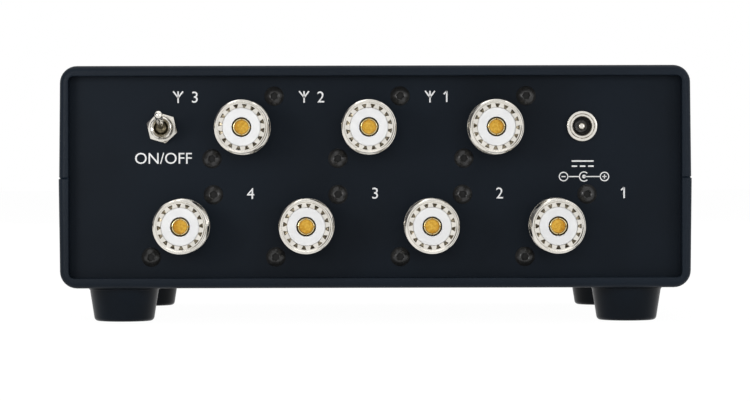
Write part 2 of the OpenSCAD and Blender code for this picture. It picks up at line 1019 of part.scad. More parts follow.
module knob_grip_outline() {
  difference() {
    circle(r = knob_grip_d / 2);
    for (i = [0:knob_flutes - 1])
      rotate((i + 0.5) * 360 / knob_flutes)
        translate([knob_grip_d / 2 + knob_flute_r / 2, 0])
          circle(r = knob_flute_r);
  }
}

// Fluted knob on a bevelled skirt, with a pointer groove along its top and skirt
module selector_knob() {
  top = knob_gap + knob_h;
  skirt_top = knob_gap + knob_skirt_t;
  difference() {
    union() {
      rod(knob_skirt_d / 2, knob_gap, skirt_top - knob_bevel);
      translate([0, 0, skirt_top - knob_bevel])
        cylinder(r1 = knob_skirt_d / 2, r2 = knob_skirt_d / 2 - knob_bevel, h = knob_bevel);
      intersection() {
        translate([0, 0, skirt_top - tiny])
          linear_extrude(top - skirt_top + tiny)
            knob_grip_outline();
        union() {
          rod(knob_grip_d / 2, skirt_top - 1, top - knob_bevel);
          translate([0, 0, top - knob_bevel - tiny])
            cylinder(r1 = knob_grip_d / 2, r2 = knob_grip_d / 2 - knob_bevel, h = knob_bevel + tiny);
        }
      }
    }
    rod(knob_well_r, 0, knob_gap + knob_well_d);
    translate([0, 0, knob_gap])
      linear_extrude(shaft_top + fit - knob_gap)
        difference() {
          circle(r = shaft_d / 2 + fit / 2);
          translate([-shaft_d, shaft_flat + fit / 2])
            square([2 * shaft_d, shaft_d]);
        }
    translate([-pointer_w / 2, pointer_start, top - pointer_depth])
      cube([pointer_w, knob_grip_d, pointer_depth + through]);
  }
}

// A selector rests on its first position, and turns clockwise through the others
module selector_piece(i, piece) {
  rest_turn = (selector_positions[i] - 1) * step_angle / 2;
  on_front((i == 0 ? -1 : 1) * selector_x, selector_z) {
    if (piece == "bushing")
      color("#b9b9b4") selector_bushing();
    if (piece == "housing")
      color("#2f3a4a") selector_housing();
    if (piece == "shaft")
      color("#c4c4c0") rotate(rest_turn) selector_shaft();
    if (piece == "nut")
      color("#c9c9c4") selector_nut();
    if (piece == "knob")
      color("#17181a") rotate(rest_turn) selector_knob();
  }
}

module selector_board() {
  color("#2f6b3c")
    on_front(0, 0)
      translate([0, 0, selector_back - board_t])
        linear_extrude(board_t)
          difference() {
            translate([-selector_board_w / 2, header_z - header_h / 2])
              square([selector_board_w, selector_z + selector_board_h / 2 - header_z + header_h / 2]);
            for (s = [-1, 1])
              translate([s * lamp_leg_x, selector_z])
                circle(r = lamp_hole_r);
          }
}

// Indicator lamp with its dome through the panel and its two legs in the board
module power_lamp() {
  flange_z = -panel_t - lamp_flange_t;
  leg_z = selector_back - board_t - lamp_leg_reach;
  color("#c03028")
    on_front(0, selector_z) {
      rod(lamp_r, flange_z, 0);
      intersection() {
        sphere(r = lamp_r);
        rod(lamp_r + through, -tiny, lamp_r + through);
      }
      rod(lamp_flange_r, flange_z, -panel_t);
      for (s = [-1, 1])
        translate([s * lamp_leg_x, 0, leg_z])
          slab(lamp_leg_w, lamp_leg_w, flange_z + tiny - leg_z);
    }
}

// ---- Nodes ----

top_shell();
bottom_shell();
rear_panel();
front_panel();
case_screws();
foot_screws();
for (i = [0:3])
  foot(i);
for (i = [0:6], piece = socket_pieces)
  socket_piece(i, piece);
socket_screws();
board_spacers();
board_screws();
relay_board();
relays();
control_cable();
power_leads();
toggle_bushing();
toggle_housing();
toggle_lever();
toggle_nut();
toggle_lugs();
jack_barrel();
jack_insulator();
jack_pin();
jack_nut();
jack_tabs();
for (i = [0:1], piece = selector_pieces)
  selector_piece(i, piece);
selector_board();
power_lamp();
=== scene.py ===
"""Looks of the coaxial antenna switch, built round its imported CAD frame.

Lengths are millimetres in the frame's axes until new_piece() turns them into metres.
+Z is up, the connector panel faces -Y and the control panel faces +Y.
"""

import math

import bmesh
import bpy
import numpy as np
from mathutils import Matrix, Vector


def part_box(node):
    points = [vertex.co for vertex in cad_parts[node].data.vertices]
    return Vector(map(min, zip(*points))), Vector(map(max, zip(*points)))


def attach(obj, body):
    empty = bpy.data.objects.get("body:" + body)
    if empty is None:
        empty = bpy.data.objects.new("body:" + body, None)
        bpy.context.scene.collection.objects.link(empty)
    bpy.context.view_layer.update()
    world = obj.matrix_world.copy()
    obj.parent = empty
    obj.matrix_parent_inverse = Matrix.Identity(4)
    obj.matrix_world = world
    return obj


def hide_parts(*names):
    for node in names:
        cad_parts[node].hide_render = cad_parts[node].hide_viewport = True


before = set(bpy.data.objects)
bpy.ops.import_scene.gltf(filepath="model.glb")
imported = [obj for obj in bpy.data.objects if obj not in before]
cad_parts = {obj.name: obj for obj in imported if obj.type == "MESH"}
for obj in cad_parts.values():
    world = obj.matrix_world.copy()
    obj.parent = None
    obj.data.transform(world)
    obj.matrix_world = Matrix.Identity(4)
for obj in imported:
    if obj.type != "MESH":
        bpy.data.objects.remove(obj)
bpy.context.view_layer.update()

MM = 0.001

# Case details that the frame's boxes don't give
WALL = 2.2
LIP = 3.0
RECESS = 5.0
CORNER_R = 5.0
RIM_R = 1.8
DRAFT = 0.3
SEAM_BEVEL = 0.35
LIP_EDGE_R = 0.35
OPENING_R = 1.5
ROOM_R = 0.5
PANEL_T = 2.0
RIB_T = 2.0
RIB_H = 2.5
POST_X = 84.0
POST_Y = 40.0
POST_R = 4.8
SCREW_WELL_R = 3.6
SCREW_PASS_R = 1.7
SCREW_PILOT_R = 1.5
CASE_SCREW_SEAT = 4.0
FOOT_BOSS_R = 4.0
FOOT_BOSS_H = 5.0
FOOT_WELL = 6.0
FOOT_BOTTOM_R = 8.7
FOOT_ROUND = 1.0
FOOT_LIP = 0.25
FOOT_LIP_LOW = 0.9
FOOT_LIP_HIGH = 0.6
SCREW_WELL_EDGE = 0.3
WEB_HALF_T = 1.0
WEB_OVERLAP = 0.3
POST_OVERLAP = 0.2
CUT_PAST = 1.0

# A detailed piece starts this far before its panel's face, and the node's own mesh is kept behind
BEHIND = 0.2

FINE_SIDES = 96

# Sockets, measured out of the connector panel
THREAD_ROWS = 6
THREAD_PITCH = 25.4 / 24
THREAD_DEPTH = 0.55
THREAD_RUNOUT = 0.35
THREAD_START = 0.02
BARREL_R = 7.94
RELIEF_R = 7.5
RELIEF_END = 0.5
MOUTH_EDGE = 0.2
MOUTH_RIM = 0.4
MOUTH_LIP_R = 7.25
MOUTH_LEDGE = 0.8
MOUTH_LEDGE_R = 6.95
SHELL_BORE_R = 5.6
NOTCHES = 16
NOTCH_W = 1.15
NOTCH_R = 6.7
NOTCH_SECTOR = 2 * math.pi / NOTCHES
NOTCH_HALF = math.asin(NOTCH_W / 2 / SHELL_BORE_R)
NOTCH_EDGE = 0.05
NOTCH_VALLEY = 0.5
NOTCH_TAPER = 0.4
NOTCH_WALL = math.radians(0.4)
NOTCH_LAND = (0.36, 0.5, 0.64)
NOTCH_SET_BACK = 0.02
MOUTH_BEVEL = 0.3
FIRST_NOTCHES = (3, 16.5, 16, 22.5, 14.5, 12.5, 20)
INSULATOR_R = 5.55
INSULATOR_TAIL_R = 4.3
INSULATOR_STEP = -2.0
INSULATOR_ROUND = 0.2
CONTACT_SEAT = 1.0
CONTACT_R = 2.5
CONTACT_BORE_R = 2.0
CONTACT_BORE_DEPTH = 10.0
CONTACT_SLOT_DEPTH = 6.0
CONTACT_SLOT_W = 0.3
CONTACT_PIN_R = 1.25
CONTACT_PIN_EDGE = 0.3
CONTACT_RECESS_R = 2.85
CONTACT_RECESS_EDGE = 0.1
CONTACT_RECESS_PAST = 1.0
NOSE = ((0.0, 0.25), (0.08, 0.07), (0.2, 0.0))
NOSE_BORE_EDGE = 0.12
NOSE_BEVEL = 0.25
FINGERS = 4
FINGER_STEPS = 12
FIT = 0.05

# Button-head screws
SCREW_HEAD_R = 2.85
SCREW_HEAD_H = 1.65
SCREW_KEY_AF = 2.0
SCREW_KEY_DEPTH = 1.0
SCREW_KEY_EDGE = 0.12
SCREW_KEY_FLOOR = 0.4
SCREW_DOME_STEPS = 8
SCREW_HEAD_EDGE = 0.05
SCREW_FOOT_EDGE = 0.1
SCREW_FOOT_H = 0.03
SCREW_TURN = 37
SCREW_SHANK_R = 1.5
SCREW_LEN = 8.0
SCREW_SPACING = 18.26

# Toggle and jack
TOGGLE_THREAD_PITCH = 0.75
TOGGLE_THREAD_DEPTH = 0.32
TOGGLE_THREAD_RUNOUT = 0.25
TOGGLE_RELIEF = 0.35
TOGGLE_NOSE = 7.0
TOGGLE_NOSE_FLAT = 0.1
TOGGLE_NOSE_EDGE = 0.05
TOGGLE_R = 3.175
TOGGLE_BORE_R = 2.3
TOGGLE_LIP_R = 2.0
TOGGLE_LIP_Z = 5.7
TOGGLE_MOUTH_R = 2.7
TOGGLE_BEVEL_R = 2.2
TOGGLE_BEVEL_IN = 0.35
TOGGLE_DISH = 0.8
KEYWAY_HALF_W = 0.5
KEYWAY_FLOOR = 2.675
PIVOT_OUT = 4.3
LEVER_TILT = math.radians(14)
LEVER_LEN = 15.99
LEVER_TIP_R = 1.2
LEVER_ROOT_R = 0.95
LEVER_TAIL_R = 0.8
LEVER_TAIL = 3.0
LEVER_TAIL_EDGE = 0.2
LEVER_POLE_R = 0.05
LEVER_NECK_LOW = 2.4
LEVER_NECK_TOP = 4.0
LEVER_STEPS = 8
BALL_R = 2.2
PIVOT_PIN_R = 0.5
PIVOT_PIN_END = 2.75
NUT_AF = 8.0
NUT_T = 2.0
NUT_FACE_SHARE = 0.97
NUT_BEVEL = math.radians(30)
NUT_BORE_EDGE = 0.15
NUT_TURN = math.radians(43)
JACK_R = 4.5
JACK_T = 1.5
JACK_HOLE_R = 2.83
JACK_HOLE_FLARE = 0.15
JACK_HOLE_EDGE = 0.2
JACK_THREAD_R = 3.95
JACK_DEPTH = 9.0
JACK_EDGE_R = 0.35
JACK_GROOVE_R = 3.57
JACK_GROOVE_W = 0.3
JACK_GROOVE_DEPTH = 0.25
JACK_COLLAR_R = 1.9
JACK_COLLAR_LEN = 1.5
JACK_COLLAR_EDGE = 0.2
JACK_TAIL_R = 0.8
JACK_TAIL_EDGE = 0.3
JACK_PIN_STEP = 0.3
JACK_PIN_ROUND = 0.7

# Knobs, measured out of the control panel
KNOB_GAP = 1.0
KNOB_TOP = 17.95
SKIRT_R = 15.0
SKIRT_TOP = 3.5
GRIP_R = 11.5
FLUTES = 12
FLUTE_R = 1.6
FLUTE_STEPS = 16
KNOB_WELL_R = 8.0
KNOB_WELL_TOP = 6.0
SHAFT_R = 3.0
SHAFT_TOP = 16.0
KNOB_EDGE = 0.8
SKIRT_EDGE = 0.3
SKIRT_BEVEL = ((0.0, 0.8), (0.25, 0.35), (0.8, 0.0))
GRIP_ROOT = ((0.4, 0.0), (0.1, 0.1), (0.0, 0.4))
CAP_GROOVE = ((2.6, 0.0), (2.8, 0.15), (3.0, 0.0))
CAP_POLE_R = 1.0
POINTER_HALF_W = 0.6
POINTER_SINK = 0.3
POINTER_SPANS = ((4.0, GRIP_R - 0.85), (GRIP_R + 0.6, SKIRT_R - 0.9))
STEP_ANGLE = 30.0
SELECTOR_NUT_AF = 11.0
SELECTOR_NUT_T = 2.0
SELECTOR_NUT_BORE_R = 4.55

# Markings
INK_T = 0.05
LETTER_H = 3.4
CAPITAL_SHARE = 0.73
FLAG_OF_1 = (-0.26, 0.22, 0, 0.46, 0.13)
DIAL_R = 20.0
TICK_IN = 16.0
TICK_OUT = 17.4
TICK_W = 0.4
LINE_W = 0.42
THIN_LINE_W = 0.3
AERIAL_FORK = 0.05
AERIAL_ARM = 0.42
POLARITY_REACH = 6.0
POLARITY_RING_R = 1.25
POLARITY_BAR = 0.6
POLARITY_CUP_R = 1.35
POLARITY_DOT_R = 0.55
CURRENT_BAR = 3.2
CURRENT_GAP = 0.75
DASH_PITCH = 2.4
DASH_HALF = 0.8

# Places of the markings beside the middle of a socket, the toggle or the jack
RADIO_MARK = (20.0, 9.5)
ANTENNA_MARK = (-16.8, 8.9)
AERIAL_SHIFT = -2.2
ANTENNA_NUMBER_SHIFT = 2.7
TOGGLE_MARK = (0.35, -8.9)
CURRENT_MARK = (0.2, -11.0)
POLARITY_MARK = (0.6, -14.8)

# Camera, found from the screws and sockets of the photograph
CAMERA_PLACE = (-2.38, -1094.07, 48.29)
CAMERA_YAW = -0.00223
CAMERA_PITCH = -0.01241
CAMERA_ROLL = -0.00215
CAMERA_LENS = 168.67
SENSOR_W = 36.0

# Middle of a noise's values that a surface's tones, and its roughness, are spread over
PATCH_SPAN = (0.35, 0.65)
GRAIN_SPAN = (0.3, 0.7)

# Light of the studio on surfaces, and the room that metal mirrors: each fade runs from its dark
# end to its white one, along a component of the direction
WORLD_LIGHT = (0.24, 0.243, 0.25)
ROOM_DARK = (0.07, 0.07, 0.075)
WHITE = (1.0, 1.0, 1.0)
BACK_FADE = (0.0, 0.25)
FRONT_FADE = (-0.6, -0.9)
LEFT_FADE = (-0.75, -0.45)
FLOOR_HALF = 4.0
FLOOR_TONE = (0.86, 0.86, 0.86, 1)
FLOOR_GLOW = 1.03
FLOOR_GLOW_SHARE = 0.95

# Lamps: place, target, width, height, watts, and whether metal and gloss mirror them
PANEL_LEFT = (-0.02, -0.07, 0.045)
PANEL_RIGHT = (0.02, -0.07, 0.045)
CASE = (0, 0, 0.04)
LAMPS = {
    "front": ((0.1, -1.4, 0.35), CASE, 0.9, 0.6, 7, False),
    "key": ((-0.25, -0.38, 0.1), PANEL_LEFT, 0.12, 0.12, 0.42, True),
    "fill": ((0.36, -0.42, 0.12), PANEL_RIGHT, 0.14, 0.14, 0.32, True),
    "top": ((0, 0.1, 1.3), (0, 0, 0), 1.4, 0.9, 4, True),
    "back": ((-0.2, 1.3, 0.5), CASE, 0.8, 0.8, 10, False),
    "left": ((-1.3, 0.35, 0.4), CASE, 0.8, 0.8, 10, False),
    "right": ((1.3, 0.35, 0.4), CASE, 0.8, 0.8, 10, False),
}

SOCKETS = ["radio_4", "radio_3", "radio_2", "radio_1", "antenna_3", "antenna_2", "antenna_1"]
FEET = ["foot_rear_left", "foot_rear_right", "foot_front_left", "foot_front_right"]
SELECTORS = {"radio_selector": 4, "antenna_selector": 3}


# ---- Places, from the frame ----


def box(node):
    """Lowest and highest corner of a CAD node, in millimetres."""
    low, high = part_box(node)
    return np.array(low) / MM, np.array(high) / MM


def middle(node):
    low, high = box(node)
    return (low + high) / 2


def half_width(node):
    low, high = box(node)
    return (high[0] - low[0]) / 2


def ends(node):
    """How far a node's back and front stand out of the connector panel."""
    low, high = box(node)
    return REAR_Y - high[1], REAR_Y - low[1]


def beside(node, shift=(0, 0)):
    """x and z of a node's middle, or of a place beside it."""
    centre = middle(node)
    return centre[0] + shift[0], centre[2] + shift[1]


REAR_Y = box("rear_panel")[0][1]
FRONT_Y = box("front_panel")[1][1]
MOUTH = ends("radio_4_shell")[1]
INSULATOR_BACK, INSULATOR_FRONT = ends("radio_4_insulator")
CONTACT_BACK, CONTACT_FRONT = ends("radio_4_contact")
SEAM_Z = box("bottom_shell")[1][2]
CASE_BOTTOM = box("bottom_shell")[0][2]
CASE_TOP = box("top_shell")[1][2]
CASE_Y = middle("bottom_shell")[1]
HALF_D = box("bottom_shell")[1][1] - CASE_Y
HALF_W = box("bottom_shell")[1][0]
TOP_HALF_W = box("top_shell")[1][0]


def on_rear(x, z):
    """A piece's own +Z leaves the connector panel and its +Y stays up."""
    return Matrix(((1, 0, 0, x), (0, 0, -1, REAR_Y), (0, 1, 0, z), (0, 0, 0, 1)))


def on_front(x, z):
    """A piece's own +Z leaves the control panel, and its +Y stays up."""
    return Matrix(((-1, 0, 0, x), (0, 0, 1, FRONT_Y), (0, 1, 0, z), (0, 0, 0, 1)))


# ---- Mesh parts: (points, faces) ----


def circle_angles(sides):
    return np.arange(sides) * 2 * math.pi / sides


def ring(radius, height, angles):
    radius = np.broadcast_to(radius, len(angles))
    height = np.broadcast_to(height, len(angles))
    return np.column_stack([radius * np.cos(angles), radius * np.sin(angles), height])


def skin(rings, loop=False):
    """Faces between rings of equally many points, closed by two caps or by joining last to first."""
    n = len(rings[0])
    count = len(rings)
    faces = []
    for i in range(count if loop else count - 1):
        a = i * n
        b = (i + 1) % count * n
        for k in range(n):
            m = (k + 1) % n
            faces.append((a + k, a + m, b + m, b + k))
    if not loop:
        faces.append(tuple(range(n)))
        faces.append(tuple(range((count - 1) * n, count * n)))
    return np.concatenate(rings), faces


def stack(profile, angles):
    """Rings about Z from (radius, height) pairs."""
    return [ring(r, z, angles) for r, z in profile]


def swept(section, angles, x=0.0, y=0.0):
    """Copies of an (r, z) section, each turned to an angle."""
    turns = [(math.cos(a), math.sin(a)) for a in angles]
    return [np.array([(x + r * c, y + r * s, z) for r, z in section]) for c, s in turns]


def turned(profile, sides=64, loop=False):
    """A solid turned about Z from (radius, height) points."""
    return skin(stack(profile, circle_angles(sides)), loop)


def band_faces(bands, sides):
    """The faces of turned() that start at the profile's points of these numbers."""
    return [band * sides + k for band in bands for k in range(sides)]


def tube(r, bore_r, z0, z1, sides=32):
    return turned([(r, z0), (r, z1), (bore_r, z1), (bore_r, z0)], sides, loop=True)


def rod(r, z0, z1, sides=32):
    return turned([(r, z0), (r, z1)], sides)


def block(low, high):
    (x0, y0, z0), (x1, y1, z1) = low, high
    corners = [[(x0, y0, z), (x1, y0, z), (x1, y1, z), (x0, y1, z)] for z in (z0, z1)]
    return skin([np.array(c, float) for c in corners])


def arc_points(cx, cz, r, start, end, steps):
    """(x, z) points on an arc, angles in degrees."""
    for i in range(steps + 1):
        a = math.radians(start + (end - start) * i / steps)
        yield cx + r * math.cos(a), cz + r * math.sin(a)


def rounded(r, z, edge_r, steps=5):
    """Profile points round the outer edge of an end at height z."""
    return list(arc_points(r - edge_r, z - edge_r, edge_r, 0, 90, steps))


def placed(part, matrix):
    points, faces = part
    m = np.array(matrix)
    return points @ m[:3, :3].T + m[:3, 3], faces


def joined(parts):
    points, faces, start = [], [], 0
    for part_points, part_faces in parts:
        points.append(part_points)
        faces += [tuple(i + start for i in face) for face in part_faces]
        start += len(part_points)
    return np.concatenate(points), faces


def thread_rings(r, depth, pitch, z0, z1, angles, runout):
    """Rings of a helical thread whose crest fades into a bevel at both ends.

    Its root is flat over about a sixth of the pitch, and its crest over a fifth."""
    rings = []
    count = int(round((z1 - z0) / pitch * THREAD_ROWS))
    for i in range(count + 1):
        z = z0 + (z1 - z0) * i / count
        phase = (z / pitch - angles / (2 * math.pi)) % 1.0
        groove = np.clip(1.25 - np.abs(phase - 0.5) * 3.2, 0, 1)
        bevel = max(0.0, runout - (z - z0), runout - (z1 - z))
        rings.append(ring(np.minimum(r - depth * groove, r - bevel), z, angles))
    return rings


def hexagon(across_flats, angles):
    """Radius of a hexagon at each angle, with a corner at angle 0."""
    turn = angles % (math.pi / 3) - math.pi / 6
    return across_flats / 2 / np.cos(turn)


# ---- Pieces ----


def add_object(name, data):
    obj = bpy.data.objects.new(name, data)
    bpy.context.scene.collection.objects.link(obj)
    return obj


def evaluated_mesh(obj):
    """A copy of the mesh that an object shows, with its modifiers applied."""
    bpy.context.view_layer.update()
    graph = bpy.context.evaluated_depsgraph_get()
    return bpy.data.meshes.new_from_object(obj.evaluated_get(graph))


def closed_mesh(name, parts):
    """A mesh of all the parts, in metres, with its faces turned outward."""
    points, faces = joined(parts)
    mesh = bpy.data.meshes.new(name)
    mesh.from_pydata((points * MM).tolist(), [], faces)
    work = bmesh.new()
    work.from_mesh(mesh)
    bmesh.ops.recalc_face_normals(work, faces=work.faces)
    work.to_mesh(mesh)
    work.free()
    return mesh


def new_piece(name, parts, material, body="case", replaced=(), sharp=35, shaded=None):
    """A piece of the scene from mesh parts. shaded is a second material with the faces that wear it."""
    mesh = closed_mesh(name, parts)
    piece = add_object(name, mesh)
    mesh.materials.append(material)
    if shaded:
        second, marked = shaded
        mesh.materials.append(second)
        for face in marked:
            mesh.polygons[face].material_index = 1
    mesh.shade_smooth()
    mesh.set_sharp_from_angle(angle=math.radians(sharp))
    even = piece.modifiers.new("even_shading", "WEIGHTED_NORMAL")
    even.keep_sharp = True
    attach(piece, body)
    if replaced:
        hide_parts(*replaced)
    return piece


def carve(piece, cutter_parts):
    """Cuts solids out of a piece, and leaves the result in its mesh."""
    cutter = add_object("cutter", closed_mesh("cutter", cutter_parts))
    cut = piece.modifiers.new("cut", "BOOLEAN")
    cut.object = cutter
    cut.operation = "DIFFERENCE"
    cut.solver = "EXACT"
    piece.modifiers.move(piece.modifiers.find("cut"), 0)
    even = piece.modifiers["even_shading"]
    even.show_viewport = False
    shaped = evaluated_mesh(piece)
    piece.modifiers.remove(cut)
    even.show_viewport = True
    piece.data = shaped
    bpy.data.objects.remove(cutter)


def behind_panel(node):
    """The part of a CAD node's mesh that lies behind the connector panel's face, as a mesh part."""
    work = bmesh.new()
    work.from_mesh(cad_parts[node].data)
    bmesh.ops.remove_doubles(work, verts=work.verts, dist=1e-7)
    bmesh.ops.bisect_plane(
        work,
        geom=work.verts[:] + work.edges[:] + work.faces[:],
        dist=1e-7,
        plane_co=(0, (REAR_Y - BEHIND) * MM, 0),
        plane_no=(0, -1, 0),
        clear_outer=True,
    )
    work.verts.index_update()
    points = np.array([v.co for v in work.verts]) / MM
    faces = [tuple(v.index for v in f.verts) for f in work.faces]
    work.free()
    return points, faces


# ---- Materials ----


def noise(tree, place, size, detail):
    """Cloudy values whose patches are about this many millimetres wide."""
    cloud = tree.nodes.new("ShaderNodeTexNoise")
    cloud.inputs["Scale"].default_value = 1 / (size * MM)
    cloud.inputs["Detail"].default_value = detail
    tree.links.new(place, cloud.inputs["Vector"])
    return cloud.outputs["Fac"]


def spread(tree, value, span, to=(0.0, 1.0), smooth=False):
    """A value over one span, carried to another."""
    ramp = tree.nodes.new("ShaderNodeMapRange")
    if smooth:
        ramp.interpolation_type = "SMOOTHSTEP"
    for socket, limit in zip(("From Min", "From Max", "To Min", "To Max"), (*span, *to)):
        ramp.inputs[socket].default_value = limit
    tree.links.new(value, ramp.inputs["Value"])
    return ramp.outputs["Result"]


def blend(tree, share, first, second):
    """A colour between two, which are each a colour or the output of a node."""
    mix = tree.nodes.new("ShaderNodeMix")
    mix.data_type = "RGBA"
    tree.links.new(share, mix.inputs[0])
    for socket, colour in ((mix.inputs[6], first), (mix.inputs[7], second)):
        if isinstance(colour, tuple):
            socket.default_value = (*colour, 1)
        else:
            tree.links.new(colour, socket)
    return mix.outputs[2]


def surface(name, tones, rough, patch, grain, bump, metallic=0.0, shine=0.5, clear=0.0):
    """Colour mottled over patches, and roughness and relief over a fine grain; in millimetres."""
    material = bpy.data.materials.new(name)
    material.use_nodes = True
    tree = material.node_tree
    shader = tree.nodes["Principled BSDF"]
    shader.inputs["Metallic"].default_value = metallic
    shader.inputs["Specular IOR Level"].default_value = shine
    shader.inputs["Transmission Weight"].default_value = clear
    place = tree.nodes.new("ShaderNodeTexCoord").outputs["Object"]
    cloud = noise(tree, place, patch, 4)
    fine = noise(tree, place, grain, 2)
    colour = blend(tree, spread(tree, cloud, PATCH_SPAN), *tones)
    relief = tree.nodes.new("ShaderNodeBump")
    relief.inputs["Distance"].default_value = bump * MM
    relief.inputs["Strength"].default_value = 1
    tree.links.new(fine, relief.inputs["Height"])
    tree.links.new(colour, shader.inputs["Base Color"])
    tree.links.new(spread(tree, fine, GRAIN_SPAN, rough), shader.inputs["Roughness"])
    tree.links.new(relief.outputs["Normal"], shader.inputs["Normal"])
    return material


def metal(*look):
    return surface(*look, metallic=1.0)


def greys(dark, light, tint=WHITE):
    """A darker and a lighter tone of one tint."""
    return [tuple(level * t for t in tint) for level in (dark, light)]


COOL = (0.76, 1.0, 1.32)
DEEP_COOL = (0.57, 1.0, 1.65)
WARM = (1.04, 1.0, 0.92)

case_plastic = surface(
    "case_plastic", greys(0.0075, 0.0095, DEEP_COOL), (0.4, 0.55), 60, 0.35, 0.035, shine=0.13
)
panel_paint = surface(
    "panel_paint", greys(0.005, 0.0072, DEEP_COOL), (0.42, 0.54), 40, 0.25, 0.02, shine=0.1
)
black_oxide = surface("black_oxide", greys(0.011, 0.016), (0.26, 0.36), 1.5, 0.2, 0.006)
# Painted shade: a blacker tone in the screws' hex recesses.
painted_recess_shade = surface("painted_recess_shade", greys(0.004, 0.007), (0.4, 0.5), 1.5, 0.2, 0.006, shine=0.2)
foot_plastic = surface(
    "foot_plastic", greys(0.005, 0.007, DEEP_COOL), (0.28, 0.38), 12, 0.4, 0.012, shine=0.09
)
nickel = metal("nickel", greys(0.66, 0.78, WARM), (0.16, 0.24), 4, 0.3, 0.003)
# Painted shade: a dark brownish nickel for the roots of the mouth's notches and the floor of the jack's
# groove, standing in for the shadow in them.
dull_nickel = metal(
    "dull_nickel", ((0.13, 0.11, 0.08), (0.6, 0.56, 0.48)), (0.16, 0.3), 0.8, 0.2, 0.01
)
toggle_nickel = metal("toggle_nickel", greys(0.66, 0.76, WARM), (0.2, 0.3), 2, 0.25, 0.003)
white_insulator = surface(
    "white_insulator", ((0.69, 0.69, 0.69), (0.74, 0.74, 0.7326)), (0.38, 0.5), 6, 0.3, 0.006, shine=0.3
)
shaded_insulator = surface(
    "shaded_insulator", ((0.34, 0.27, 0.17), (0.42, 0.35, 0.23)), (0.4, 0.5), 2, 0.3, 0.006, shine=0.3
)
# A paler, less yellow gilt for the noses of the contact fingers.
worn_gilt = metal("worn_gilt", ((0.56, 0.44, 0.2), (0.74, 0.62, 0.34)), (0.16, 0.28), 0.7, 0.2, 0.004)
gilt = metal("gilt", ((0.6, 0.33, 0.035), (0.8, 0.5, 0.09)), (0.14, 0.26), 0.9, 0.2, 0.004)
brass = metal("brass", ((0.68, 0.46, 0.16), (0.78, 0.56, 0.24)), (0.25, 0.4), 3, 0.3, 0.005)
steel = metal("steel", greys(0.5, 0.62), (0.28, 0.42), 3, 0.25, 0.005)
board_green = surface(
    "board_green", ((0.01, 0.10, 0.035), (0.015, 0.14, 0.05)), (0.3, 0.42), 8, 0.8, 0.01
)
relay_blue = surface(
    "relay_blue", ((0.01, 0.05, 0.22), (0.014, 0.07, 0.28)), (0.28, 0.4), 10, 0.4, 0.01
)
ribbon_grey = surface("ribbon_grey", greys(0.3, 0.38), (0.5, 0.62), 2, 1.27, 0.06)
lead_red = surface(
    "lead_red", ((0.35, 0.012, 0.01), (0.45, 0.02, 0.015)), (0.3, 0.42), 5, 0.5, 0.01
)
switch_plastic = surface(
    "switch_plastic", greys(0.02, 0.03, COOL), (0.35, 0.5), 4, 0.3, 0.01, shine=0.25
)
jack_plastic = surface("jack_plastic", greys(0.012, 0.02), (0.35, 0.5), 2, 0.3, 0.01, shine=0.25)
# Painted light: a lighter grey for the jack insulator's collar front, which lies deep in the hole.
lit_collar_plastic = surface("lit_collar_plastic", greys(0.05, 0.11), (0.3, 0.5), 0.6, 0.3, 0.02)
# Grease, and painted shade: a dark brown for the toggle's ball, lever root and bushing bore, where the
# hollow lies in shadow.
greased_steel = metal(
    "greased_steel", ((0.1, 0.085, 0.055), (0.3, 0.26, 0.18)), (0.35, 0.55), 0.7, 0.25, 0.01
)
knob_plastic = surface(
    "knob_plastic", greys(0.010, 0.015), (0.32, 0.45), 10, 0.3, 0.012, shine=0.25
)
lamp_lens = surface(
    "lamp_lens", ((0.5, 0.01, 0.008), (0.62, 0.02, 0.015)), (0.08, 0.14), 2, 0.3, 0.002, clear=0.35
)
white_ink = surface("white_ink", greys(0.7, 0.78), (0.5, 0.65), 1.5, 0.15, 0.004)


# ---- Case ----


def end_section(end):
    """One end of a shell's wall, from outside to inside.

    Each point is (inset, y, corner radius or None, bevel inset, bevel y): a point with no
    corner radius lies on the drafted outside, and the bevel is its shift at the seam."""
    edge = HALF_D - RIM_R
    points = []
    for c, s in arc_points(0, 0, 1, 0, 90, 8):
        points.append((RIM_R * (1 - c), end * (edge + RIM_R * s), None, c, -end * s))
    for c, s in arc_points(0, 0, 1, 90, 0, 4):
        inset = LIP - LIP_EDGE_R + LIP_EDGE_R * c
        y = end * (HALF_D - LIP_EDGE_R + LIP_EDGE_R * s)
        points.append((inset, y, OPENING_R + LIP - inset, 0, -end * s))
    front = HALF_D - RECESS
    back = front - PANEL_T
    rib = WALL + RIB_H
    points.append((LIP, end * front, OPENING_R, 0, 0))
    inner = back - RIB_T
    for inset, y in ((WALL, front), (WALL, back), (rib, back), (rib, inner), (WALL, inner)):
        points.append((inset, end * y, ROOM_R, 0, 0))
    return points


def wall_line(point, half_w, height):
    """Up the right side from the seam, round the corner and to the middle, as (x, y, z) points."""
    inset, y, corner, bevel_inset, bevel_y = point
    if corner is None:
        corner_r = CORNER_R - inset
        side_top = height - CORNER_R
        foot_x = half_w - inset
        top_x = foot_x - DRAFT
    else:
        corner_r = corner
        side_top = height - inset - corner_r
        foot_x = HALF_W - inset
        top_x = foot_x
    line = [(foot_x - SEAM_BEVEL * bevel_inset, y + SEAM_BEVEL * bevel_y, 0.0)]
    for share in (SEAM_BEVEL / side_top, 0.5, 1.0):
        line.append((foot_x + (top_x - foot_x) * share, y, side_top * share))
    corner_points = rounded(top_x, side_top + corner_r, corner_r, 8)
    line += [(x, y, z) for x, z in corner_points[1:]]
    line.append((0.0, y, side_top + corner_r))
    return line


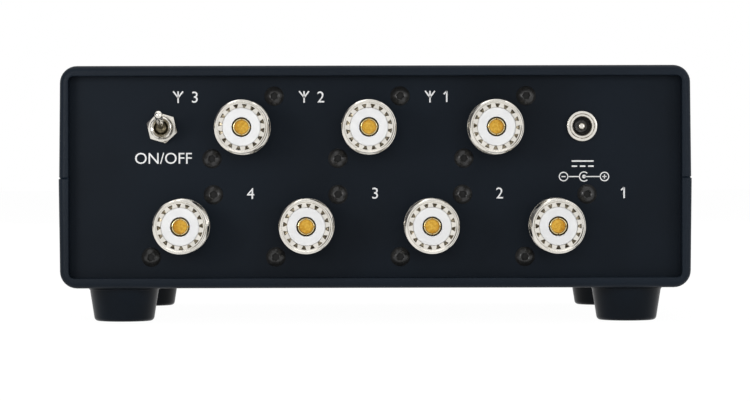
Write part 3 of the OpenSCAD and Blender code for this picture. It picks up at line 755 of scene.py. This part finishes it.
def shell_wall(half_w, height, up):
    section = end_section(-1) + end_section(1)[::-1]
    lines = [wall_line(point, half_w, height) for point in section]
    right = [[line[k] for line in lines] for k in range(len(lines[0]))]
    left = [[(-x, y, z) for x, y, z in station] for station in right[:-1]]
    stations = [np.array(s) for s in left + right[::-1]]
    for station in stations:
        station[:, 1] += CASE_Y
        station[:, 2] = SEAM_Z + up * station[:, 2]
    return skin(stations)


def post_web(matrix, z0, z1):
    """The web that ties a screw post to its side wall."""
    x = matrix.translation.x
    y = matrix.translation.y
    wall_x = math.copysign(HALF_W - WALL + WEB_OVERLAP, x)
    return block((min(x, wall_x), y - WEB_HALF_T, z0), (max(x, wall_x), y + WEB_HALF_T, z1))


def make_shells():
    ceiling = CASE_TOP - WALL + POST_OVERLAP
    floor = CASE_BOTTOM + WALL - POST_OVERLAP
    corners = [(sx * POST_X, CASE_Y + sy * POST_Y, 0) for sx in (-1, 1) for sy in (-1, 1)]
    posts = [Matrix.Translation(corner) for corner in corners]
    top = [shell_wall(TOP_HALF_W, CASE_TOP - SEAM_Z, 1)]
    for post in posts:
        top.append(placed(tube(POST_R, SCREW_PILOT_R, SEAM_Z, ceiling), post))
        top.append(post_web(post, SEAM_Z, ceiling))
    new_piece("top_shell_moulding", top, case_plastic, replaced=["top_shell"])

    wall = [shell_wall(HALF_W, SEAM_Z - CASE_BOTTOM, -1)]
    shell = new_piece(
        "bottom_shell_moulding", wall, case_plastic, replaced=["bottom_shell"]
    )
    feet = [Matrix.Translation((*middle(foot)[:2], 0)) for foot in FEET]
    low = CASE_BOTTOM - CUT_PAST
    high = floor + CUT_PAST
    wells = [placed(rod(SCREW_WELL_R, low, high), post) for post in posts]
    wells += [placed(rod(SCREW_PILOT_R, low, high), foot) for foot in feet]
    carve(shell, wells)

    inner = []
    seat = CASE_BOTTOM + CASE_SCREW_SEAT
    for post in posts:
        inner.append(placed(tube(POST_R, SCREW_WELL_R, floor, seat), post))
        inner.append(placed(tube(POST_R, SCREW_PASS_R, seat, SEAM_Z), post))
        inner.append(post_web(post, floor, SEAM_Z))
    boss_top = CASE_BOTTOM + WALL + FOOT_BOSS_H
    for foot in feet:
        inner.append(placed(tube(FOOT_BOSS_R, SCREW_PILOT_R, floor, boss_top), foot))
    new_piece("bottom_shell_posts", inner, case_plastic)


def make_feet():
    top_r = half_width(FEET[0])
    top = box(FEET[0])[1][2]
    taper = (top_r - FOOT_BOTTOM_R) / top
    profile = [(SCREW_WELL_R + SCREW_WELL_EDGE, 0), (FOOT_BOTTOM_R - FOOT_ROUND, 0)]
    for c, s in arc_points(0, 0, FOOT_ROUND, -75, 0, 5):
        profile.append((FOOT_BOTTOM_R - FOOT_ROUND + c + taper * (FOOT_ROUND + s), FOOT_ROUND + s))
    profile += [(top_r - FOOT_LIP, top - FOOT_LIP_LOW), (top_r, top - FOOT_LIP_HIGH), (top_r, top)]
    profile += [(SCREW_PASS_R, top), (SCREW_PASS_R, FOOT_WELL)]
    profile += [(SCREW_WELL_R, FOOT_WELL), (SCREW_WELL_R, SCREW_WELL_EDGE)]
    moulding = turned(profile, FINE_SIDES, loop=True)
    for foot in FEET:
        part = placed(moulding, Matrix.Translation((*middle(foot)[:2], 0)))
        new_piece(foot + "_moulding", [part], foot_plastic, replaced=[foot])


# ---- Sockets ----


def notch_angles(width=1.0):
    """Angles round a socket's mouth, close together at the sides of each notch.

    width is the share of a notch's full width that it has on this ring."""
    half = width * NOTCH_HALF
    steps = [-half - NOTCH_WALL, -half + NOTCH_WALL, 0, half - NOTCH_WALL, half + NOTCH_WALL]
    steps += [share * NOTCH_SECTOR for share in NOTCH_LAND]
    middles = [i * NOTCH_SECTOR + NOTCH_SECTOR / 2 for i in range(NOTCHES)]
    return np.array([m + s for m in middles for s in steps])


def notch_share(angles):
    """0 outside the notches, and from near 0 at a notch's side to 1 in its middle."""
    off_middle = np.abs(angles % NOTCH_SECTOR - NOTCH_SECTOR / 2)
    return np.maximum(0, 1 - off_middle / NOTCH_HALF)


def socket_barrel(first_notch):
    """Threaded barrel with its bevelled, castellated mouth, and the faces of its notches.

    The angle of its first notch is in degrees."""
    angles = notch_angles()
    inner = notch_angles(NOTCH_TAPER)
    ledge = MOUTH - MOUTH_LEDGE
    depth = notch_share(angles)
    floor = np.where(depth > 0, ledge - NOTCH_EDGE - (NOTCH_VALLEY - NOTCH_EDGE) * depth, ledge)
    barrel_r = min(half_width("radio_4_shell"), BARREL_R)
    rings = stack([(RELIEF_R, BEHIND), (RELIEF_R, RELIEF_END)], angles)
    rings += thread_rings(
        barrel_r, THREAD_DEPTH, THREAD_PITCH, RELIEF_END + THREAD_START, MOUTH - MOUTH_EDGE,
        angles, THREAD_RUNOUT,
    )
    profile = [(barrel_r - MOUTH_RIM, MOUTH), (MOUTH_LIP_R, MOUTH), (MOUTH_LEDGE_R, MOUTH - MOUTH_BEVEL)]
    profile += [(MOUTH_LEDGE_R, ledge), (NOTCH_R, ledge)]
    rings += stack(profile, angles)
    wall = len(rings) - 1
    rings.append(ring(NOTCH_R - NOTCH_SET_BACK, floor, angles))
    rings += stack([(SHELL_BORE_R, floor), (SHELL_BORE_R, BEHIND)], inner)
    turn = Matrix.Rotation(math.radians(first_notch) - math.pi / NOTCHES, 4, "Z")
    low = np.flatnonzero(depth > 0)
    steps = [k + shift for k in low for shift in (-1, 0)]
    roots = {(wall + i) * len(angles) + k % len(angles) for i in (0, 1) for k in steps}
    return placed(skin(rings, loop=True), turn), sorted(int(face) for face in roots)


def socket_insulator():
    """Insulator round its contact, and the faces of the gap between the two."""
    front = INSULATOR_FRONT
    recess = front - CONTACT_SLOT_DEPTH - CONTACT_RECESS_PAST
    tail = INSULATOR_BACK
    seat = tail + CONTACT_SEAT
    profile = [(INSULATOR_R, INSULATOR_STEP)]
    profile += rounded(INSULATOR_R, front, INSULATOR_ROUND, 3)
    shaded = band_faces(range(len(profile) + 1, len(profile) + 4), FINE_SIDES)
    profile += [(CONTACT_RECESS_R + CONTACT_RECESS_EDGE, front)]
    profile += [(CONTACT_RECESS_R, front - CONTACT_RECESS_EDGE), (CONTACT_RECESS_R, recess)]
    profile += [(CONTACT_R + FIT, recess), (CONTACT_R + FIT, seat)]
    profile += [(CONTACT_PIN_R + FIT, seat), (CONTACT_PIN_R + FIT, tail)]
    profile += [(INSULATOR_TAIL_R, tail), (INSULATOR_TAIL_R, INSULATOR_STEP)]
    return turned(profile, FINE_SIDES, loop=True), shaded


def socket_contact():
    """Body with its solder pin, spring fingers between the slots, and the faces of their noses."""
    root = CONTACT_FRONT - CONTACT_SLOT_DEPTH
    tail = CONTACT_BACK
    shoulder = INSULATOR_BACK + CONTACT_SEAT
    bore = CONTACT_FRONT - CONTACT_BORE_DEPTH
    body = [(CONTACT_PIN_R - CONTACT_PIN_EDGE, tail), (CONTACT_PIN_R, tail + CONTACT_PIN_EDGE)]
    body += [(CONTACT_PIN_R, shoulder), (CONTACT_R, shoulder)]
    body += [(CONTACT_R, root), (CONTACT_BORE_R, root), (CONTACT_BORE_R, bore)]
    section = [(CONTACT_BORE_R, root), (CONTACT_R, root)]
    section += [(CONTACT_R - inset, CONTACT_FRONT - drop) for inset, drop in NOSE]
    section.append((CONTACT_BORE_R + NOSE_BORE_EDGE, CONTACT_FRONT))
    section.append((CONTACT_BORE_R, CONTACT_FRONT - NOSE_BEVEL))
    nose_faces = range(2, len(section) - 1)
    half_slot = math.asin(CONTACT_SLOT_W / 2 / CONTACT_R)
    sector = 2 * math.pi / FINGERS
    shares = np.arange(FINGER_STEPS + 1) / FINGER_STEPS
    parts = [turned(body)]
    noses = []
    for i in range(FINGERS):
        angles = i * sector + half_slot + (sector - 2 * half_slot) * shares
        first = sum(len(part[1]) for part in parts)
        for band in range(FINGER_STEPS):
            noses += [first + band * len(section) + k for k in nose_faces]
        parts.append(skin(swept(section, angles)))
    return parts, noses


def button_screw():
    """Button head with a hex recess, on a plain shank, and the faces of its recess."""
    angles = circle_angles(48)
    dome_r = (SCREW_HEAD_R**2 + SCREW_HEAD_H**2) / (2 * SCREW_HEAD_H)
    key = hexagon(SCREW_KEY_AF, angles)

    def dome(r):
        return math.sqrt(dome_r**2 - r**2) - dome_r + SCREW_HEAD_H

    mouth_r = SCREW_KEY_AF / math.sqrt(3) + SCREW_KEY_EDGE
    low = SCREW_HEAD_H - SCREW_KEY_DEPTH
    profile = [(key * SCREW_KEY_FLOOR, low), (key, low), (key, dome(mouth_r) - SCREW_KEY_EDGE)]
    for i in range(SCREW_DOME_STEPS + 1):
        r = mouth_r + (SCREW_HEAD_R - SCREW_HEAD_EDGE - mouth_r) * i / SCREW_DOME_STEPS
        profile.append((r, dome(r)))
    profile += [(SCREW_HEAD_R, SCREW_FOOT_H), (SCREW_HEAD_R - SCREW_FOOT_EDGE, 0)]
    profile += [(SCREW_SHANK_R, 0), (SCREW_SHANK_R, -SCREW_LEN)]
    floor = (len(profile) - 1) * len(angles)
    return skin(stack(profile, angles)), band_faces((0, 1), len(angles)) + [floor]


def make_sockets():
    screws = []
    recesses = []
    insulator, gap = socket_insulator()
    contact, noses = socket_contact()
    screw, recess = button_screw()
    for i, name in enumerate(SOCKETS):
        place = on_rear(*beside(name + "_contact"))
        barrel, roots = socket_barrel(FIRST_NOTCHES[i])
        shell = [placed(barrel, place), behind_panel(name + "_shell")]
        # The roots of the notches wear painted shade.
        new_piece(
            name + "_barrel", shell, nickel, replaced=[name + "_shell"],
            shaded=(dull_nickel, roots),
        )
        new_piece(
            name + "_dielectric", [placed(insulator, place)], white_insulator,
            replaced=[name + "_insulator"], shaded=(shaded_insulator, gap),
        )
        fingers = [placed(part, place) for part in contact]
        # The finger noses wear the paler gilt.
        new_piece(
            name + "_fingers", fingers, gilt, replaced=[name + "_contact"],
            shaded=(worn_gilt, noses),
        )
        for s in (-1, 1):
            offset = Matrix.Translation((s * SCREW_SPACING / 2, s * SCREW_SPACING / 2, 0))
            turn = Matrix.Rotation(math.radians(SCREW_TURN * (2 * i + s)), 4, "Z")
            recesses += [len(screws) * len(screw[1]) + face for face in recess]
            screws.append(placed(screw, place @ offset @ turn))
    # Their hex recesses wear painted shade.
    new_piece(
        "socket_button_screws", screws, black_oxide, replaced=["socket_screws"],
        shaded=(painted_recess_shade, recesses),
    )


# ---- Toggle and jack ----


def hex_nut(across_flats, thickness, bore_r, turn=0.0):
    """Nut with both faces bevelled to a circle."""
    angles = circle_angles(72)
    outline = hexagon(across_flats, angles)
    face_r = across_flats / 2 * NUT_FACE_SHARE
    drop = np.maximum(0, outline - face_r) * math.tan(NUT_BEVEL)
    edge = NUT_BORE_EDGE
    profile = [(bore_r, edge), (bore_r + edge, 0), (face_r, 0), (outline, drop)]
    profile += [(outline, thickness - drop), (face_r, thickness)]
    profile += [(bore_r + edge, thickness), (bore_r, thickness - edge)]
    return placed(skin(stack(profile, angles), loop=True), Matrix.Rotation(turn, 4, "Z"))


def toggle_bushing_nose():
    """Threaded bushing with a dished mouth and a keyway, and the faces of its bore."""
    angles = circle_angles(FINE_SIDES)
    edge = TOGGLE_NOSE - TOGGLE_NOSE_EDGE
    rings = [ring(TOGGLE_R - TOGGLE_RELIEF, BEHIND, angles)]
    rings += thread_rings(
        TOGGLE_R, TOGGLE_THREAD_DEPTH, TOGGLE_THREAD_PITCH, BEHIND + THREAD_START, edge,
        angles, TOGGLE_THREAD_RUNOUT,
    )
    profile = [(TOGGLE_MOUTH_R + TOGGLE_NOSE_FLAT, TOGGLE_NOSE), (TOGGLE_MOUTH_R, edge)]
    profile.append((TOGGLE_BEVEL_R, TOGGLE_NOSE - TOGGLE_BEVEL_IN))
    profile += [(TOGGLE_LIP_R, TOGGLE_NOSE - TOGGLE_DISH), (TOGGLE_LIP_R, TOGGLE_LIP_Z)]
    profile += [(TOGGLE_BORE_R, TOGGLE_LIP_Z), (TOGGLE_BORE_R, BEHIND)]
    rings += stack(profile, angles)
    bore = band_faces(range(len(rings) - 4, len(rings) - 1), len(angles))
    points, faces = skin(rings, loop=True)
    keyway = (np.abs(points[:, 0]) < KEYWAY_HALF_W) & (points[:, 1] < -KEYWAY_FLOOR)
    points[keyway, 1] = -KEYWAY_FLOOR
    return (points, faces), bore


def lever():
    """Lever on its ball, a slim root that swells to a round tip, and the faces of ball and root."""
    sides = 48
    profile = [(LEVER_POLE_R, -LEVER_TAIL), (LEVER_TAIL_R - LEVER_TAIL_EDGE, -LEVER_TAIL)]
    profile.append((LEVER_TAIL_R, -LEVER_TAIL + LEVER_TAIL_EDGE))
    tail_join = math.degrees(math.asin(LEVER_TAIL_R / BALL_R))
    root_join = math.degrees(math.asin(LEVER_ROOT_R / BALL_R))
    profile += list(arc_points(0, 0, BALL_R, -90 + tail_join, 90 - root_join, 16))
    profile += [(LEVER_ROOT_R, LEVER_NECK_LOW), (LEVER_ROOT_R, LEVER_NECK_TOP)]
    grease_and_shade_faces = band_faces(range(len(profile) + 2), sides)
    tip = LEVER_LEN - LEVER_TIP_R
    for i in range(1, LEVER_STEPS):
        share = i / LEVER_STEPS
        r = LEVER_ROOT_R + (LEVER_TIP_R - LEVER_ROOT_R) * share
        profile.append((r, LEVER_NECK_TOP + (tip - LEVER_NECK_TOP) * share))
    profile += list(arc_points(0, tip, LEVER_TIP_R, 0, 88, 10))
    return turned(profile, sides), grease_and_shade_faces


def make_toggle():
    place = on_rear(*beside("toggle_nut"))
    nose, bore = toggle_bushing_nose()
    bushing = [placed(nose, place), behind_panel("toggle_bushing")]
    # Its bore wears grease and painted shade.
    new_piece(
        "toggle_bushing_thread", bushing, toggle_nickel, replaced=["toggle_bushing"],
        shaded=(greased_steel, bore),
    )
    nut = placed(hex_nut(NUT_AF, NUT_T, TOGGLE_R + FIT, NUT_TURN), place)
    new_piece("toggle_hex_nut", [nut], toggle_nickel, replaced=["toggle_nut"], sharp=25)
    pivot = place @ Matrix.Translation((0, 0, PIVOT_OUT))
    bat, grease_and_shade_faces = lever()
    bat = placed(bat, pivot @ Matrix.Rotation(-LEVER_TILT, 4, "X"))
    across = pivot @ Matrix.Rotation(math.pi / 2, 4, "Y")
    pin = placed(rod(PIVOT_PIN_R, -PIVOT_PIN_END, PIVOT_PIN_END, 24), across)
    # Its ball and root wear grease and painted shade.
    new_piece(
        "toggle_bat_lever", [bat, pin], toggle_nickel, body="toggle",
        replaced=["toggle_lever"], shaded=(greased_steel, grease_and_shade_faces),
    )


def make_jack():
    place = on_rear(*beside("jack_barrel"))
    sides = FINE_SIDES
    profile = [(JACK_THREAD_R, -JACK_DEPTH), (JACK_THREAD_R, 0), (JACK_R, 0)]
    profile += rounded(JACK_R, JACK_T, JACK_EDGE_R)
    groove = band_faces(range(len(profile), len(profile) + 3), sides)
    outer = JACK_GROOVE_R + JACK_GROOVE_W / 2
    inner = JACK_GROOVE_R - JACK_GROOVE_W / 2
    floor = JACK_T - JACK_GROOVE_DEPTH
    profile += [(outer, JACK_T), (outer, floor), (inner, floor), (inner, JACK_T)]
    profile += [(JACK_HOLE_R + JACK_HOLE_FLARE, JACK_T), (JACK_HOLE_R, JACK_T - JACK_HOLE_EDGE)]
    profile.append((JACK_HOLE_R, -JACK_DEPTH))
    barrel = placed(turned(profile, sides, loop=True), place)
    # The groove's faces wear painted shade.
    new_piece(
        "jack_barrel_flange", [barrel], toggle_nickel, replaced=["jack_barrel"],
        shaded=(dull_nickel, groove),
    )

    back, front = ends("jack_insulator")
    back_r = half_width("jack_insulator")
    shoulder = front - JACK_COLLAR_LEN
    profile = [(JACK_TAIL_R + FIT, back), (back_r, back), (back_r, -JACK_DEPTH)]
    profile += [(JACK_HOLE_R - FIT, -JACK_DEPTH), (JACK_HOLE_R - FIT, shoulder)]
    collar = band_faces(range(len(profile), len(profile) + 3), sides)
    profile += [(JACK_COLLAR_R, shoulder), (JACK_COLLAR_R, front - JACK_COLLAR_EDGE)]
    profile += [(JACK_COLLAR_R - JACK_COLLAR_EDGE, front), (JACK_TAIL_R + FIT, front)]
    insulator = placed(turned(profile, sides, loop=True), place)
    # The collar's front wears painted light.
    new_piece(
        "jack_insulator_plug", [insulator], jack_plastic, replaced=["jack_insulator"],
        shaded=(lit_collar_plastic, collar),
    )

    tail, tip = ends("jack_pin")
    pin_r = half_width("jack_pin")
    step = front + JACK_PIN_STEP
    profile = [(JACK_TAIL_R - JACK_TAIL_EDGE, tail), (JACK_TAIL_R, tail + JACK_TAIL_EDGE)]
    profile += [(JACK_TAIL_R, step), (pin_r, step)]
    profile += rounded(pin_r, tip, JACK_PIN_ROUND)
    pin = placed(turned(profile, 48), place)
    new_piece("jack_centre_pin", [pin], toggle_nickel, replaced=["jack_pin"])


# ---- Control side ----


def flute_radius(angles):
    """Radius of a knob's grip, with round flutes cut into it."""
    sector = 2 * math.pi / FLUTES
    turn = angles % sector - sector / 2
    centre = GRIP_R + FLUTE_R / 2
    reach = FLUTE_R**2 - (centre * np.sin(turn)) ** 2
    cut = centre * np.cos(turn) - np.sqrt(np.maximum(reach, 0))
    return np.where(reach > 0, np.minimum(cut, GRIP_R), GRIP_R)


def knob():
    angles = circle_angles(FLUTE_STEPS * FLUTES) + math.pi / 2
    outline = flute_radius(angles - math.pi / 2)
    profile = [(SHAFT_R + FIT, SHAFT_TOP + FIT), (SHAFT_R + FIT, KNOB_WELL_TOP)]
    profile += [(KNOB_WELL_R, KNOB_WELL_TOP), (KNOB_WELL_R, KNOB_GAP)]
    profile += [(SKIRT_R - SKIRT_EDGE, KNOB_GAP), (SKIRT_R, KNOB_GAP + SKIRT_EDGE)]
    profile += [(SKIRT_R - inset, SKIRT_TOP - drop) for inset, drop in SKIRT_BEVEL]
    profile += [(outline + out, SKIRT_TOP + up) for out, up in GRIP_ROOT]
    profile += rounded(outline, KNOB_TOP, KNOB_EDGE)
    profile += [(GRIP_R - inset, KNOB_TOP - drop) for inset, drop in CAP_GROOVE]
    profile.append((CAP_POLE_R, KNOB_TOP))
    return skin(stack(profile, angles))


def knob_pointer():
    """White line along the top of a knob and across its skirt."""
    w = POINTER_HALF_W
    return [
        block((-w, start, top - POINTER_SINK), (w, end, top + INK_T))
        for (start, end), top in zip(POINTER_SPANS, (KNOB_TOP, SKIRT_TOP))
    ]


def make_controls():
    for name, positions in SELECTORS.items():
        panel = on_front(*beside(name + "_nut"))
        first = math.radians((positions - 1) * STEP_ANGLE / 2)
        place = panel @ Matrix.Rotation(first, 4, "Z")
        new_piece(
            name + "_fluted_knob", [placed(knob(), place)], knob_plastic, body=name,
            replaced=[name + "_knob"],
        )
        pointer = [placed(part, place) for part in knob_pointer()]
        new_piece(name + "_pointer", pointer, white_ink, body=name)
        nut = placed(hex_nut(SELECTOR_NUT_AF, SELECTOR_NUT_T, SELECTOR_NUT_BORE_R), panel)
        new_piece(name + "_hex_nut", [nut], steel, replaced=[name + "_nut"], sharp=25)


# ---- Markings ----


def letters(text, matrix):
    """Plain lettering in Blender's own font, centred, as a thin mesh part."""
    curve = bpy.data.curves.new("lettering", "FONT")
    curve.body = text
    curve.align_x = "CENTER"
    curve.align_y = "CENTER"
    curve.size = LETTER_H / CAPITAL_SHARE
    curve.extrude = INK_T / 2
    curve.resolution_u = 4
    writer = add_object("lettering", curve)
    mesh = evaluated_mesh(writer)
    points = np.array([v.co for v in mesh.vertices])
    for axis in (0, 1):
        points[:, axis] -= (points[:, axis].max() + points[:, axis].min()) / 2
    faces = [tuple(p.vertices) for p in mesh.polygons]
    bpy.data.objects.remove(writer)
    bpy.data.curves.remove(curve)
    bpy.data.meshes.remove(mesh)
    return placed((points, faces), matrix @ Matrix.Translation((0, 0, INK_T / 2)))


def number(value, matrix):
    """A plain number, with a flag on a 1."""
    parts = [letters(str(value), matrix)]
    if str(value) == "1":
        flag = bar(*[share * LETTER_H for share in FLAG_OF_1])
        parts.append(placed(flag, matrix))
    return parts


def bar(x0, y0, x1, y1, width):
    """A flat printed line between two points."""
    along = Vector((x1 - x0, y1 - y0, 0))
    angle = math.atan2(along.y, along.x)
    part = block((0, -width / 2, 0), (along.length, width / 2, INK_T))
    return placed(part, Matrix.Translation((x0, y0, 0)) @ Matrix.Rotation(angle, 4, "Z"))


def loop_line(x, y, r, width, start=0.0, sweep=360.0):
    """A flat printed ring or part of one."""
    steps = max(8, int(sweep / 10))
    low = r - width / 2
    high = r + width / 2
    section = [(low, 0), (high, 0), (high, INK_T), (low, INK_T)]
    whole = sweep >= 360
    angles = [math.radians(start + sweep * i / steps) for i in range(steps if whole else steps + 1)]
    return skin(swept(section, angles, x, y), loop=whole)


def antenna_sign(x, y):
    """Schematic aerial: a mast with three arms that meet on it."""
    top = y + LETTER_H / 2
    fork = y - LETTER_H * AERIAL_FORK
    arm = LETTER_H * AERIAL_ARM
    return [
        bar(x, y - LETTER_H / 2, x, top, LINE_W),
        bar(x, fork, x - arm, top, LINE_W),
        bar(x, fork, x + arm, top, LINE_W),
    ]


def polarity_sign(x, y):
    """Centre-positive power: minus, an open ring round a dot, plus."""
    w = THIN_LINE_W
    minus = x - POLARITY_REACH
    plus = x + POLARITY_REACH
    half = POLARITY_BAR
    parts = [loop_line(end, y, POLARITY_RING_R, w) for end in (minus, plus)]
    parts += [bar(end - half, y, end + half, y, w) for end in (minus, plus)]
    parts.append(bar(plus, y - half, plus, y + half, w))
    parts.append(loop_line(x, y, POLARITY_CUP_R, w, 45, 270))
    parts.append(bar(minus + POLARITY_RING_R, y, x - POLARITY_CUP_R, y, w))
    parts.append(bar(x, y, plus - POLARITY_RING_R, y, w))
    parts.append(placed(rod(POLARITY_DOT_R, 0, INK_T, 20), Matrix.Translation((x, y, 0))))
    return parts


def current_sign(x, y):
    """Direct current: a full line over a broken one."""
    top = y + CURRENT_GAP
    low = y - CURRENT_GAP
    parts = [bar(x - CURRENT_BAR, top, x + CURRENT_BAR, top, LINE_W)]
    for i in (-1, 0, 1):
        dash = x + i * DASH_PITCH
        parts.append(bar(dash - DASH_HALF, low, dash + DASH_HALF, low, LINE_W))
    return parts


def make_markings():
    panel = on_rear(0, 0)
    parts = []
    for name in SOCKETS:
        value = name[-1]
        if name.startswith("antenna"):
            x, z = beside(name + "_contact", ANTENNA_MARK)
            parts += [placed(p, panel) for p in antenna_sign(x + AERIAL_SHIFT, z)]
            parts += number(value, on_rear(x + ANTENNA_NUMBER_SHIFT, z))
        else:
            parts += number(value, on_rear(*beside(name + "_contact", RADIO_MARK)))
    parts.append(letters("ON/OFF", on_rear(*beside("toggle_nut", TOGGLE_MARK))))
    signs = current_sign(*beside("jack_barrel", CURRENT_MARK))
    signs += polarity_sign(*beside("jack_barrel", POLARITY_MARK))
    parts += [placed(p, panel) for p in signs]
    new_piece("rear_markings", parts, white_ink)

    parts = []
    for name, positions in SELECTORS.items():
        node = name + "_nut"
        first = 90 + (positions - 1) * STEP_ANGLE / 2
        for i in range(positions):
            a = math.radians(first - i * STEP_ANGLE)
            dx = math.cos(a)
            dz = math.sin(a)
            parts += number(i + 1, on_front(*beside(node, (-DIAL_R * dx, DIAL_R * dz))))
            tick = bar(TICK_IN * dx, TICK_IN * dz, TICK_OUT * dx, TICK_OUT * dz, TICK_W)
            parts.append(placed(tick, on_front(*beside(node))))
    new_piece("front_markings", parts, white_ink)


# ---- CAD nodes that stay, with their finishes ----


def finish_nodes():
    turning = [name + part for name in SELECTORS for part in ("_bushing", "_shaft")]
    finishes = [
        (panel_paint, ["rear_panel", "front_panel"]),
        (black_oxide, ["case_screws", "foot_screws"]),
        (brass, ["board_spacers"]),
        (steel, ["board_screws"] + turning),
        (switch_plastic, [name + "_housing" for name in SELECTORS]),
        (board_green, ["relay_board", "selector_board"]),
        (relay_blue, ["relays", "toggle_housing"]),
        (toggle_nickel, ["toggle_lugs", "jack_nut", "jack_tabs"]),
        (lamp_lens, ["power_lamp"]),
        (ribbon_grey, ["control_cable"]),
        (lead_red, ["power_leads"]),
    ]
    for material, kept in finishes:
        for obj in [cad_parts[node] for node in kept]:
            if not obj.data.materials:
                obj.data.materials.append(material)
            for place in obj.material_slots:
                place.material = material


# ---- Stage, light and camera ----


def highest(tree, values):
    top = values[0]
    for value in values[1:]:
        higher = tree.nodes.new("ShaderNodeMath")
        higher.operation = "MAXIMUM"
        tree.links.new(top, higher.inputs[0])
        tree.links.new(value, higher.inputs[1])
        top = higher.outputs["Value"]
    return top


def ray_is_seen(tree):
    """1 for camera, glossy and transmission rays, 0 for the rays that light surfaces."""
    path = tree.nodes.new("ShaderNodeLightPath")
    kinds = ("Is Camera Ray", "Is Glossy Ray", "Is Transmission Ray")
    return highest(tree, [path.outputs[kind] for kind in kinds])


def make_stage():
    """A white floor that takes light as pale grey, so that shadows on it stay faint."""
    mesh = bpy.data.meshes.new("floor")
    half = FLOOR_HALF
    corners = [(-half, -half, 0), (half, -half, 0), (half, half, 0), (-half, half, 0)]
    mesh.from_pydata(corners, [], [(0, 1, 2, 3)])
    floor = add_object("floor", mesh)
    material = bpy.data.materials.new("pale_floor")
    material.use_nodes = True
    tree = material.node_tree
    tree.nodes.clear()
    output = tree.nodes.new("ShaderNodeOutputMaterial")
    matt = tree.nodes.new("ShaderNodeBsdfDiffuse")
    matt.inputs["Color"].default_value = FLOOR_TONE
    glow = tree.nodes.new("ShaderNodeEmission")
    glow.inputs["Strength"].default_value = FLOOR_GLOW
    share = tree.nodes.new("ShaderNodeMath")
    share.operation = "MULTIPLY"
    share.inputs[1].default_value = FLOOR_GLOW_SHARE
    mix = tree.nodes.new("ShaderNodeMixShader")
    tree.links.new(ray_is_seen(tree), share.inputs[0])
    tree.links.new(share.outputs["Value"], mix.inputs["Fac"])
    tree.links.new(matt.outputs["BSDF"], mix.inputs[1])
    tree.links.new(glow.outputs["Emission"], mix.inputs[2])
    tree.links.new(mix.outputs["Shader"], output.inputs["Surface"])
    mesh.materials.append(material)


def make_world():
    """White to the camera; as a mirrored room, white before and behind, and dark on the left."""
    world = bpy.data.worlds.new("studio")
    bpy.context.scene.world = world
    world.use_nodes = True
    tree = world.node_tree
    direction = tree.nodes.new("ShaderNodeTexCoord")
    parts = tree.nodes.new("ShaderNodeSeparateXYZ")
    tree.links.new(direction.outputs["Generated"], parts.inputs["Vector"])
    fades = (("Y", BACK_FADE), ("Y", FRONT_FADE), ("X", LEFT_FADE))
    walls = [spread(tree, parts.outputs[axis], span, smooth=True) for axis, span in fades]
    room = blend(tree, highest(tree, walls), ROOM_DARK, WHITE)
    path = tree.nodes.new("ShaderNodeLightPath")
    seen = blend(tree, path.outputs["Is Camera Ray"], room, WHITE)
    colour = blend(tree, ray_is_seen(tree), WORLD_LIGHT, seen)
    tree.links.new(colour, tree.nodes["Background"].inputs["Color"])


def make_lights():
    for name, (place, target, width, height, watts, mirrored) in LAMPS.items():
        light = bpy.data.lights.new(name, "AREA")
        light.shape = "RECTANGLE"
        light.size = width
        light.size_y = height
        light.energy = watts
        lamp = add_object(name, light)
        lamp.location = place
        aim = Vector(target) - Vector(place)
        lamp.rotation_euler = aim.to_track_quat("-Z", "Y").to_euler()
        lamp.visible_glossy = mirrored


def make_camera():
    data = bpy.data.cameras.new("camera")
    data.sensor_width = SENSOR_W
    data.lens = CAMERA_LENS
    data.clip_start = 0.01
    data.clip_end = 50
    camera = add_object("camera", data)
    turn = Matrix.Rotation(CAMERA_YAW, 4, "Z")
    turn = turn @ Matrix.Rotation(math.pi / 2 + CAMERA_PITCH, 4, "X")
    turn = turn @ Matrix.Rotation(CAMERA_ROLL, 4, "Z")
    camera.matrix_world = Matrix.Translation(Vector(CAMERA_PLACE) * MM) @ turn
    bpy.context.scene.camera = camera


bpy.context.scene.view_settings.view_transform = "Standard"
make_shells()
make_feet()
make_sockets()
make_toggle()
make_jack()
make_controls()
make_markings()
finish_nodes()
make_stage()
make_world()
make_lights()
make_camera()
